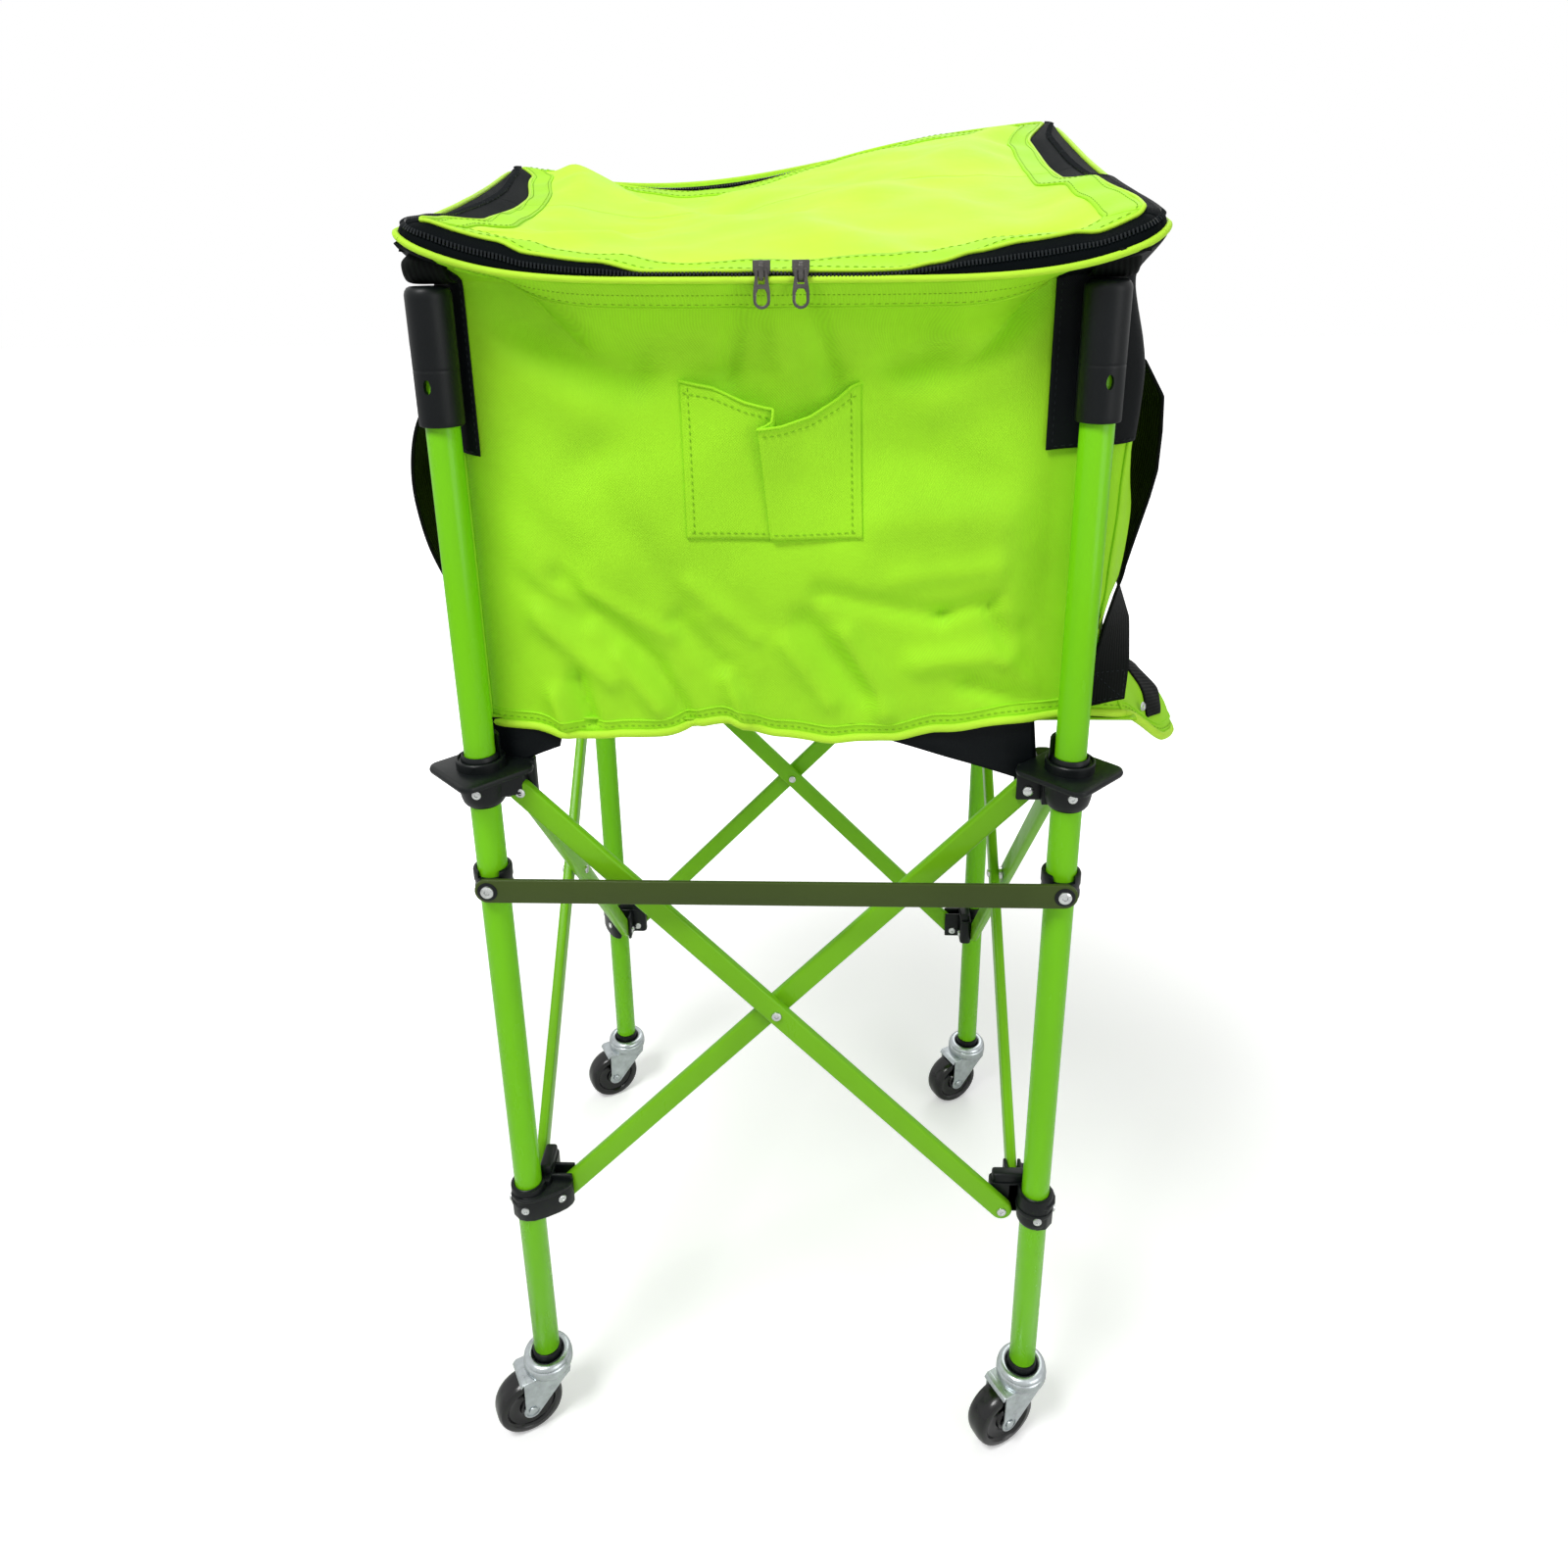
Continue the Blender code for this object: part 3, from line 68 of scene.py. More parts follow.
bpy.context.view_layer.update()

# Places that the frame gives
CORNERS = ("fl", "fr", "rr", "rl")
SIDES = ("front", "right", "rear", "left")
WAY_OUT = {side: Vector(way) for side, way in zip(SIDES, ((0, -1, 0), (1, 0, 0), (0, 1, 0), (-1, 0, 0)))}
TURN = {"fl": 0, "fr": 90, "rr": 180, "rl": 270}
SIDE_TURN = {"front": 0, "right": 90, "rear": 180, "left": 270}
BODY = {node: name for name, nodes in frame["record"]["behaviour"]["bodies"].items() for node in nodes}


def middle(node):
    low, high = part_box(node)
    return (low + high) / 2


LEG = {c: Vector((middle("leg_" + c).x, middle("leg_" + c).y, 0)) for c in CORNERS}
SPACING = LEG["fr"].x - LEG["fl"].x
CENTRE_X = (LEG["fl"].x + LEG["fr"].x) / 2
FOLD_KEEP = 0.384
# Where a soft piece lives: the frame node it goes with, the axis it gathers along and the leg it gathers to
HOMES = {
    "front": ("bag_front", 0, "fl"), "right": ("bag_right", 1, "fr"), "rear": ("bag_rear", 0, "rl"),
    "left": ("bag_left", 1, "fl"), "lid_front": ("lid_front", 0, "fl"), "lid_rear": ("lid_rear", 0, "fl"),
    "floor_front": ("bag_floor_front", 0, "fl"), "floor_rear": ("bag_floor_rear", 0, "fl"),
    "pocket": ("bag_pocket", 0, "fl"), "strap_right": ("strap_right", 1, "fr"), "strap_left": ("strap_left", 1, "fl"),
}
POCKET_SLIDE = 0.1115
LEG_RADIUS = 0.0095
LEG_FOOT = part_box("leg_fl")[0].z
LEG_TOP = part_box("leg_fl")[1].z
PIVOT_OUT = 0.023
UPPER_Z = 0.541
LOWER_Z = 0.212
ARM_DROP = UPPER_Z - LOWER_Z
ARM_SPAN = SPACING - 2 * PIVOT_OUT
ARM_LENGTH = hypot(ARM_SPAN, ARM_DROP)
ARM_ANGLE = atan2(ARM_DROP, ARM_SPAN)
OUTER_IN = 0.0018
INNER_IN = 0.0120
BAR_Z = 0.4785
WHEEL_RADIUS = 0.025
TRAIL = 0.018
TRAIL_TURN = 210

# Bag outline: the same corners as the frame's solids
BAG_LEFT, BAG_RIGHT = -SPACING / 2 - 0.002, SPACING / 2 + 0.020
BAG_FRONT, BAG_REAR = -SPACING / 2 + 0.0128, SPACING / 2 - 0.0128
RIM = {
    "fl": (-SPACING / 2 - 0.010, -SPACING / 2 - 0.020, 0.867),
    "fr": (SPACING / 2 + 0.026, -SPACING / 2 - 0.020, 0.865),
    "rr": (SPACING / 2 + 0.033, SPACING / 2 + 0.012, 0.943),
    "rl": (-SPACING / 2 - 0.045, SPACING / 2 + 0.012, 0.916),
}
BAG_BOTTOM = 0.580
CORNER_ROUND = 0.016
FLAP_REACH, FLAP_START, FLAP_DROP, FLAP_TOP = 0.062, 0.030, 0.027, 0.645


# Small maths

FALL = 2.718     # base of the bell curves of humps and creases


def mix(a, b, t):
    return a + (b - a) * t


def smooth(t):
    t = min(max(t, 0.0), 1.0)
    return t * t * (3 - 2 * t)


def curve_at(points, x):
    """Smooth reading of a short list of (place, value) pairs."""
    if x <= points[0][0]:
        return points[0][1]
    for (xa, ya), (xb, yb) in zip(points, points[1:]):
        if x <= xb:
            return mix(ya, yb, smooth((x - xa) / (xb - xa)))
    return points[-1][1]


def hump(x, y, cx, cy, wx, wy):
    return FALL ** (-((x - cx) / wx) ** 2 - ((y - cy) / wy) ** 2)


def wave(x, y, z, scale):
    return noise.noise(Vector((x, y, z)) * scale)


def metre_rows(*rows):
    """Rows of millimetres in metres."""
    return [tuple(value / 1000 for value in row) for row in rows]


# Materials

def start_material(name, colour, rough, metal=0.0, gloss=None):
    """A Principled material whose colour, roughness and bump are ready for nodes."""
    mat = bpy.data.materials.new(name)
    mat.use_nodes = True
    mat.diffuse_color = (*colour, 1)
    tree = mat.node_tree
    shader = tree.nodes["Principled BSDF"]
    shader.inputs["Metallic"].default_value = metal
    shader.inputs["Roughness"].default_value = rough
    if gloss is not None:
        shader.inputs["Specular IOR Level"].default_value = gloss
    return mat, tree, shader, tree.nodes.new("ShaderNodeTexCoord").outputs["Object"]


def node(tree, kind, **values):
    """A node with its inputs or settings filled in by name."""
    made = tree.nodes.new(kind)
    for key, value in values.items():
        if key in made.inputs:
            made.inputs[key].default_value = value
        else:
            setattr(made, key, value)
    return made


def scaled(tree, vector, scale, turn=(0, 0, 0)):
    mapping = node(tree, "ShaderNodeMapping", Scale=scale, Rotation=turn)
    tree.links.new(vector, mapping.inputs["Vector"])
    return mapping.outputs["Vector"]


def noise_at(tree, vector, scale, detail=2.0, rough=0.5):
    made = node(tree, "ShaderNodeTexNoise", Scale=scale, Detail=detail, Roughness=rough)
    tree.links.new(vector, made.inputs["Vector"])
    return made.outputs["Fac"]


def ramp(tree, value, stops):
    made = node(tree, "ShaderNodeValToRGB")
    elements = made.color_ramp.elements
    while len(elements) < len(stops):
        elements.new(0.5)
    for element, (place, colour) in zip(elements, stops):
        element.position = place
        element.color = (*colour, 1)
    tree.links.new(value, made.inputs["Fac"])
    return made.outputs["Color"]


def maths(tree, operation, a, b):
    made = node(tree, "ShaderNodeMath", operation=operation)
    for socket, value in zip(made.inputs, (a, b)):
        if isinstance(value, (int, float)):
            socket.default_value = value
        else:
            tree.links.new(value, socket)
    return made.outputs["Value"]


def levels(tree, value, low, high, start=0.0):
    """Stretch a value that runs from start to 1 to low..high."""
    made = node(tree, "ShaderNodeMapRange")
    for name, number in (("From Min", start), ("To Min", low), ("To Max", high)):
        made.inputs[name].default_value = number
    tree.links.new(value, made.inputs["Value"])
    return made.outputs["Result"]


def tint(tree, shader, value, colour, *stops):
    """Darker and lighter shades of a colour by a value; the stops are (place, share of the colour)."""
    tone = ramp(tree, value, [(place, shade(colour, share)) for place, share in stops])
    tree.links.new(tone, shader.inputs["Base Color"])
    return tone


def roughen(tree, shader, value, low, high):
    tree.links.new(levels(tree, value, low, high), shader.inputs["Roughness"])


def bump(tree, shader, height, distance, strength):
    made = node(tree, "ShaderNodeBump", Strength=strength, Distance=distance)
    tree.links.new(height, made.inputs["Height"])
    tree.links.new(made.outputs["Normal"], shader.inputs["Normal"])


def shade(colour, amount):
    return tuple(min(max(c * amount, 0.0), 1.0) for c in colour)


def paint(name, colour, rough, wear):
    """Gloss paint on tube: orange peel, faint drifts of tone and dull rubbed spots."""
    mat, tree, shader, place = start_material(name, colour, rough, gloss=0.15)
    drift = noise_at(tree, scaled(tree, place, (9, 9, 3)), 1.0, 3.0)
    tint(tree, shader, drift, colour, (0.30, 0.86), (0.50, 1), (0.72, 1.12))
    rubbed = noise_at(tree, scaled(tree, place, (60, 60, 18)), 1.0, 5.0, 0.65)
    roughen(tree, shader, maths(tree, "POWER", rubbed, 3.0), rough, rough + wear * 0.8)
    bump(tree, shader, noise_at(tree, place, 420.0, 2.0), 0.00012, 0.35)
    shader.inputs["Coat Weight"].default_value = 0.06
    shader.inputs["Coat Roughness"].default_value = 0.10
    return mat


def plastic(name, colour, rough, grain=0.00010, gloss=0.22):
    """Moulded plastic with a fine matt grain and paler scuffs."""
    mat, tree, shader, place = start_material(name, colour, rough, gloss=gloss)
    scuff = noise_at(tree, scaled(tree, place, (90, 90, 40)), 1.0, 6.0, 0.7)
    tint(tree, shader, scuff, colour, (0.35, 0.8), (0.60, 1), (0.82, 1.6))
    roughen(tree, shader, scuff, rough - 0.10, rough + 0.14)
    bump(tree, shader, noise_at(tree, place, 1500.0, 2.0), grain, 0.5)
    return mat


def metal(name, colour, rough):
    """Plated steel with fine draw lines and cloudy plating."""
    mat, tree, shader, place = start_material(name, colour, rough, 1.0)
    cloud = noise_at(tree, place, 130.0, 4.0, 0.6)
    tint(tree, shader, cloud, colour, (0.30, 0.78), (0.55, 1), (0.80, 1.22))
    roughen(tree, shader, cloud, rough - 0.08, rough + 0.16)
    bump(tree, shader, noise_at(tree, scaled(tree, place, (40, 40, 400)), 8.0, 3.0), 0.00008, 0.35)
    return mat


def weave_height(tree, place, flat, pitch):
    """Over and under threads as a height from 0 to 1. Walls count along X + Y and Z, flat pieces along X and Y."""
    split = node(tree, "ShaderNodeSeparateXYZ")
    tree.links.new(place, split.inputs["Vector"])
    across = split.outputs["X"] if flat else maths(tree, "ADD", split.outputs["X"], split.outputs["Y"])
    threads = (across, split.outputs["Y" if flat else "Z"])
    first, second = (maths(tree, "SINE", maths(tree, "MULTIPLY", way, 2 * pi / pitch), 0.0) for way in threads)
    return levels(tree, maths(tree, "MULTIPLY", first, second), 0.0, 1.0, -1.0)


def cloth(name, colour, flat=False, pitch=0.0016, rough=0.62, gloss=0.20):
    """Coated woven polyester: plain weave, soft tone drift and small creases."""
    mat, tree, shader, place = start_material(name, colour, rough, gloss=gloss)
    threads = weave_height(tree, place, flat, pitch)
    drift = noise_at(tree, place, 14.0, 4.0, 0.55)
    tone = tint(tree, shader, drift, colour, (0.25, 0.88), (0.50, 1), (0.78, 1.10))
    fine = node(tree, "ShaderNodeMix", data_type="RGBA", blend_type="MULTIPLY")
    fine.inputs["Factor"].default_value = 0.30
    tree.links.new(tone, fine.inputs["A"])
    tree.links.new(ramp(tree, threads, [(0.15, (0.62, 0.66, 0.55)), (0.75, (1, 1, 1))]), fine.inputs["B"])
    tree.links.new(fine.outputs["Result"], shader.inputs["Base Color"])
    roughen(tree, shader, drift, rough - 0.08, rough + 0.10)
    creases = noise_at(tree, place, 55.0, 5.0, 0.6)
    height = maths(tree, "ADD", maths(tree, "MULTIPLY", threads, 0.35), maths(tree, "MULTIPLY", creases, 1.6))
    bump(tree, shader, height, 0.00045, 0.55)
    return mat


def webbing(name, colour, rough=0.62, pitch=0.0026):
    """Ribbed black webbing; the ribs run across it by its UV map."""
    mat, tree, shader, _ = start_material(name, colour, rough, gloss=0.08)
    uv = node(tree, "ShaderNodeUVMap", uv_map="UVMap").outputs["UV"]
    wave_node = node(tree, "ShaderNodeTexWave", Scale=1.0, Distortion=0.6, Detail=1.0)
    tree.links.new(scaled(tree, uv, (0.32 / pitch, 0.10 / pitch, 1), (0, 0, 0.5)), wave_node.inputs["Vector"])
    ribs = wave_node.outputs["Fac"]
    tint(tree, shader, ribs, colour, (0.2, 0.55), (0.8, 1.5))
    roughen(tree, shader, noise_at(tree, uv, 900.0, 3.0), rough - 0.10, rough + 0.15)
    bump(tree, shader, ribs, 0.0004, 0.6)
    return mat


MAT = {}


def make_materials(look):
    """All finishes, from the colours of the panel."""
    cap, cloth_colour = look.cap_colour[:], look.cloth_colour[:]
    MAT.update({
        "leg": paint("leg_paint", look.leg_colour[:], 0.22, 0.35),
        "arm": paint("arm_paint", look.arm_colour[:], 0.26, 0.45),
        "bar": paint("bar_paint", look.bar_colour[:], 0.34, 0.9),
        "bracket": plastic("bracket_plastic", look.bracket_colour[:], 0.36),
        "cap": plastic("cap_plastic", cap, 0.40),
        "wheel": plastic("wheel_plastic", look.wheel_colour[:], 0.20, 0.00004, 0.45),
        "zinc": metal("zinc_plate", look.zinc_colour[:], 0.26),
        "rivet": metal("bright_rivet", (0.62, 0.64, 0.63), 0.22),
        "dark_metal": metal("gunmetal_zip", (0.125, 0.118, 0.114), 0.22),
        "cloth": cloth("bag_cloth", cloth_colour),
        # The lid's colour is the bag cloth made paler: painted light on its upward face, where the lamps fall.
        "lid": cloth("lid_cloth", look.lid_colour_with_painted_light[:], True),
        "lid_hem": cloth("lid_hem_cloth", look.hem_colour[:], True),
        "floor": cloth("floor_cloth", shade(cloth_colour, 0.85), True),
        "piping": cloth("piping_cloth", look.piping_colour[:], False, 0.0010, 0.55),
        "patch": cloth("patch_cloth", cap, False, 0.0012, 0.50, 0.10),
        "tape": cloth("zip_tape", cap, False, 0.0009, 0.70, 0.03),
        "teeth": plastic("zip_teeth", shade(cap, 2.2), 0.24, 0.00002),
        "web": webbing("strap_webbing", look.strap_colour[:]),
        "thread": cloth("seam_thread", shade(cloth_colour, 0.66), False, 0.0004, 0.6),
        "dark_thread": cloth("dark_thread", shade(cap, 3.0), False, 0.0004, 0.6),
    })


# Mesh tools

def to_mesh(bm, name="mesh"):
    mesh = bpy.data.meshes.new(name)
    bm.to_mesh(mesh)
    bm.free()
    return mesh


def joined(meshes):
    """Several meshes as one."""
    bm = bmesh.new()
    for mesh in meshes:
        bm.from_mesh(mesh)
    return to_mesh(bm)


def turned(mesh, matrix):
    """A copy of a mesh, moved, with its faces still pointing out."""
    bm = bmesh.new()
    bm.from_mesh(mesh)
    bm.transform(matrix)
    if matrix.determinant() < 0:
        bmesh.ops.reverse_faces(bm, faces=bm.faces)
    return to_mesh(bm)


def lathe(profile, steps=40):
    """Turn (radius, height) points round Z; the solid is closed where it meets the axis."""
    bm = bmesh.new()
    verts = [bm.verts.new((r, 0, z)) for r, z in profile]
    edges = [bm.edges.new(pair) for pair in zip(verts, verts[1:])]
    bmesh.ops.spin(
        bm, geom=verts + edges, cent=(0, 0, 0), axis=(0, 0, 1), angle=2 * pi, steps=steps, use_merge=True
    )
    bmesh.ops.remove_doubles(bm, verts=bm.verts, dist=0.000005)
    bmesh.ops.recalc_face_normals(bm, faces=bm.faces)
    return to_mesh(bm)


def slab(shape, low, high, round_by=0.0, steps=2, inset=()):
    """A flat shape raised from low to high with its edges rounded; inset steps are (in, up) on the top face."""
    bm = bmesh.new()
    face = bm.faces.new([bm.verts.new((x, y, low)) for x, y in shape])
    if face.normal.z > 0:
        face.normal_flip()
    raised = bmesh.ops.extrude_face_region(bm, geom=[face])["geom"]
    tops = [v for v in raised if isinstance(v, bmesh.types.BMVert)]
    bmesh.ops.translate(bm, vec=(0, 0, high - low), verts=tops)
    bmesh.ops.recalc_face_normals(bm, faces=bm.faces)
    top = max(bm.faces, key=lambda f: f.calc_center_median().z)
    for width, up in inset:
        bmesh.ops.inset_region(bm, faces=[top], thickness=width, use_even_offset=True)
        bmesh.ops.translate(bm, vec=(0, 0, up), verts=top.verts)
    if round_by:
        bm.normal_update()
        sharp = [e for e in bm.edges if e.calc_face_angle(0) > radians(38)]
        bmesh.ops.bevel(
            bm, geom=sharp, offset=round_by, offset_type="OFFSET", segments=steps, profile=0.5,
            affect="EDGES", clamp_overlap=True, material=-1,
        )
    return to_mesh(bm)


def circle(radius, steps, centre=(0.0, 0.0), start=0.0, turn=2 * pi):
    count = steps if turn >= 2 * pi - 1e-9 else steps + 1
    return [
        (centre[0] + radius * cos(start + turn * k / steps), centre[1] + radius * sin(start + turn * k / steps))
        for k in range(count)
    ]


def grid(across, along, place, flip=False, uv_size=(1.0, 1.0)):
    """A grid of across by along cells, each corner put by place(u, v) with u and v from 0 to 1."""
    bm = bmesh.new()
    bmesh.ops.create_grid(bm, x_segments=across, y_segments=along, size=0.5)
    uv = bm.loops.layers.uv.new("UVMap")
    for face in bm.faces:
        for loop in face.loops:
            loop[uv].uv = ((loop.vert.co.x + 0.5) * uv_size[0], (loop.vert.co.y + 0.5) * uv_size[1])
    for vert in bm.verts:
        vert.co = place(vert.co.x + 0.5, vert.co.y + 0.5)
    if flip:
        bmesh.ops.reverse_faces(bm, faces=bm.faces)
    return to_mesh(bm)


def tube(path, radius, steps=8, flat=1.0):
    """A round or flattened cord along a path of points."""
    last = len(path) - 1
    frames = []
    for k, at in enumerate(path):
        run = (path[min(k + 1, last)] - path[max(k - 1, 0)]).normalized()
        side = run.cross(Vector((0, 0, 1)))
        side = side.normalized() if side.length > 1e-4 else Vector((1, 0, 0))
        frames.append((at, side, side.cross(run)))
    bm = bmesh.new()
    bmesh.ops.create_grid(bm, x_segments=last, y_segments=steps, size=0.5)
    for vert in bm.verts:
        turn = (vert.co.y + 0.5) * 2 * pi
        at, side, rise = frames[round((vert.co.x + 0.5) * last)]
        vert.co = at + side * radius * cos(turn) + rise * radius * flat * sin(turn)
    bmesh.ops.remove_doubles(bm, verts=bm.verts, dist=radius * 0.02)
    bmesh.ops.holes_fill(bm, edges=[e for e in bm.edges if e.is_boundary], sides=0)
    bmesh.ops.recalc_face_normals(bm, faces=bm.faces)
    return to_mesh(bm)


THREAD = 0.00036     # half the width of a stitch


def stitches(path, gap=0.0042, long=0.0028, lift=Vector((0, -1, 0))):
    """A row of short thread stitches along a path; lift is the way out of the cloth."""
    bm = bmesh.new()
    size = Matrix.Diagonal((long / 2, THREAD, THREAD * 0.8, 1))
    left = gap / 2
    for a, b in zip(path, path[1:]):
        length = (b - a).length
        if length < 1e-6:
            continue
        ahead = (b - a) / length
        side = ahead.cross(lift).normalized()
        turn = Matrix((ahead, side, side.cross(ahead))).transposed().to_4x4()
        while left < length:
            made = bmesh.ops.create_icosphere(bm, subdivisions=1, radius=1.0)["verts"]
            bmesh.ops.transform(bm, matrix=Matrix.Translation(a + ahead * left) @ turn @ size, verts=made)
            left += gap
        left -= length
    return to_mesh(bm)


def apply_modifiers(item):
    bpy.context.view_layer.update()
    graph = bpy.context.evaluated_depsgraph_get()
    done = bpy.data.meshes.new_from_object(item.evaluated_get(graph))
    item.modifiers.clear()
    item.data = done


def cut(mesh, cutter):
    """The mesh with the cutter's shape taken out."""
    pair = [bpy.data.objects.new("cutting", m) for m in (mesh, cutter)]
    for item in pair:
        bpy.context.scene.collection.objects.link(item)
    made = pair[0].modifiers.new("cut", "BOOLEAN")
    made.operation = "DIFFERENCE"
    made.solver = "EXACT"
    made.object = pair[1]
    apply_modifiers(pair[0])
    result = pair[0].data
    for item in pair:
        bpy.data.objects.remove(item)
    return result


def piece(name, mesh, material, body, replaces=(), sharp=32):
    """Add a finished piece that rides on a body, shaded smooth but for its sharp edges."""
    item = bpy.data.objects.new(name, mesh)
    bpy.context.scene.collection.objects.link(item)
    mesh.name = name
    mesh.materials.clear()
    mesh.materials.append(MAT[material])
    for face in mesh.polygons:
        face.use_smooth = True
    mesh.set_sharp_from_angle(angle=radians(sharp))
    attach(item, body)
    if replaces:
        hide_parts(*replaces)
    return item


def sewn(name, mesh, material, home, sharp=80, thick=0.0, offset=-1.0, replaces=False):
    """A soft piece that rides on the body of its frame node, thickened into a mesh of its own."""
    node_name, axis, corner = HOMES[home]
    item = piece(name, mesh, material, BODY[node_name], [node_name] if replaces else (), sharp)
    thicken(item, thick, offset)
    way, anchor = Vector((0, 0, 0)), Vector((0, 0, 0))
    way[axis], anchor[axis] = 1, LEG[corner][axis]
    if home == "pocket":
        anchor.x += POCKET_SLIDE / (1 - FOLD_KEEP)
    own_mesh(item)


def thicken(item, depth, offset):
    """Give a sheet its thickness for good; offset -1 grows it inward and 1 outward."""
    if depth:
        made = item.modifiers.new("cloth_thickness", "SOLIDIFY")
        made.thickness, made.offset, made.use_rim = depth, offset, True
    apply_modifiers(item)


def rivet_mesh(radius, height, dimple=True):
    """Domed rivet head standing on Z = 0, with a punched centre."""
    inner = radius * 0.42
    profile = [(radius, -0.0004), (radius, height * 0.30), (radius * 0.93, height * 0.70), (radius * 0.72, height)]
    if dimple:
        profile += [(inner, height * 0.98), (inner * 0.78, height * 0.45), (0, height * 0.40)]
    else:
        profile += [(inner, height * 1.18), (0, height * 1.25)]
    return lathe([(0, -0.0004)] + profile, 24)


def facing(point, out):
    """Matrix that stands a part built along +Z at a point, pointing out."""
    return Matrix.Translation(point) @ Vector((0, 0, 1)).rotation_difference(Vector(out)).to_matrix().to_4x4()


# Rigid pieces; their tables of points are (radius or x, height or y) in millimetres

ROUND = 44
FIT = 0.0003
BORE = LEG_RADIUS + FIT
ARM_HALF, ARM_ROUND = 0.0035, 0.0075
SADDLE_MOUTH = 0.0068
TO_FRONT, TO_REAR = Matrix.Rotation(radians(90), 4, "X"), Matrix.Rotation(radians(-90), 4, "X")


def metres(points, up=0.0, along=0.0):
    """Points of millimetres in metres, moved along and up."""
    return [(along + a / 1000, up + b / 1000) for a, b in points]


def oblong(x0, y0, x1, y1):
    return [(x0, y0), (x1, y0), (x1, y1), (x0, y1)]


def plug(radius, low, high, steps=40):
    return slab(circle(radius, steps), low, high)


def rod(radius, low, high, steps):
    return lathe([(0, low), (radius, low), (radius, high), (0, high)], steps)


def bored(mesh):
    """The mesh kept clear of the leg."""
    return cut(mesh, plug(BORE, 0.1, 0.7))


def at_leg(corner, height=0.0, turn=0.0):
    return Matrix.Translation(LEG[corner] + Vector((0, 0, height))) @ Matrix.Rotation(radians(turn), 4, "Z")


def leg_tube():
    """Tube with a rolled foot and an open end for the caster."""
    foot = metres([(8.3, 0.4), (8.78, 0), (9.14, 0), (9.5, 0.6)], LEG_FOOT)
    top = metres([(9.5, -1), (8.9, 0), (8.3, 0)], LEG_TOP)
    outside, inside = metres([(9.5, 300), (9.5, 550)]), metres([(8.3, 550), (8.3, 300)])
    return lathe(foot + outside + top + inside + foot[:1], ROUND)


def cap_shell():
    """Pushed-on plastic cap with rounded rims, a shallow waist line and an oval sight hole."""
    low, high = (end.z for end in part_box("leg_cap_fl"))
    inside = [(0, LEG_TOP + FIT), (BORE, LEG_TOP + FIT), (BORE, low)]
    skirt = metres([(11.5, 0), (12.2, 0.3), (12.5, 1.1), (12.5, 2.4), (12.5, 28.8), (12.5, 30), (12.38, 30.3),
                    (12.38, 30.6), (12.5, 30.9), (12.5, 32.2)], low)
    dome = metres([(12.5, -6.2), (12.5, -4.4), (12, -2.5), (10.9, -0.9), (9.3, -0.1), (6.5, 0), (0, 0)], high)
    hole = slab([(x * 0.0021, y * 0.0040) for x, y in circle(1.0, 24)], 0.004, 0.02)
    return cut(lathe(inside + skirt + dome, ROUND), turned(hole, Matrix.Translation((0, 0, 0.790)) @ TO_FRONT))


def bracket_ears(low, high, plate):
    """Block for the outer arm and fork for the inner one, rounded like the moulding."""
    end, cheek, block_end, bend = 0.031, 0.0026, 0.016, 0.0035
    front, back = INNER_IN - ARM_HALF - FIT - cheek, INNER_IN + ARM_HALF + FIT
    start = PIVOT_OUT - ARM_ROUND - FIT
    block = circle(bend, 4, (end - bend, front + bend), -pi / 2, pi / 2)
    block += circle(bend, 4, (end - bend, block_end - bend), 0, pi / 2)
    block += [(back, block_end), (back, start), (0, start), (0, front)]
    bridge = oblong(front, front, back + cheek, start + 0.0006)
    made = [bored(slab(block, low + 0.0002, high, 0.0026, 4)), bored(slab(bridge, low + 0.0004, high, 0.0012, 3))]
    for x in (front, back):
        made.append(slab(oblong(x, start - 0.004, x + cheek, end - 0.001), low + 0.0004, high, 0.0011, 3))
    if plate:
        web = [(0.004, -0.0105), (end - 0.006, -0.002), (end - 0.004, front + 0.002), (0.0, front + 0.002)]
        made.append(bored(slab(web, low + 0.006, high, 0.0015, 3)))
    return made


def collar(low, high, lip=0.0):
    foot = metres([(9.8, 0.4), (10.4, 0), (9.3, 0), (11.1, 0.8), (12.1, 2.8), (12.3, 5)], low)
    shoulder = metres([(12.3, -1), (12, -0.3), (11.3, 0), (10.8, 0)], high - lip)
    return lathe(foot + shoulder + metres([(10.8, -0.4), (10.2, 0), (9.8, -0.4)], high) + foot[:1], ROUND)


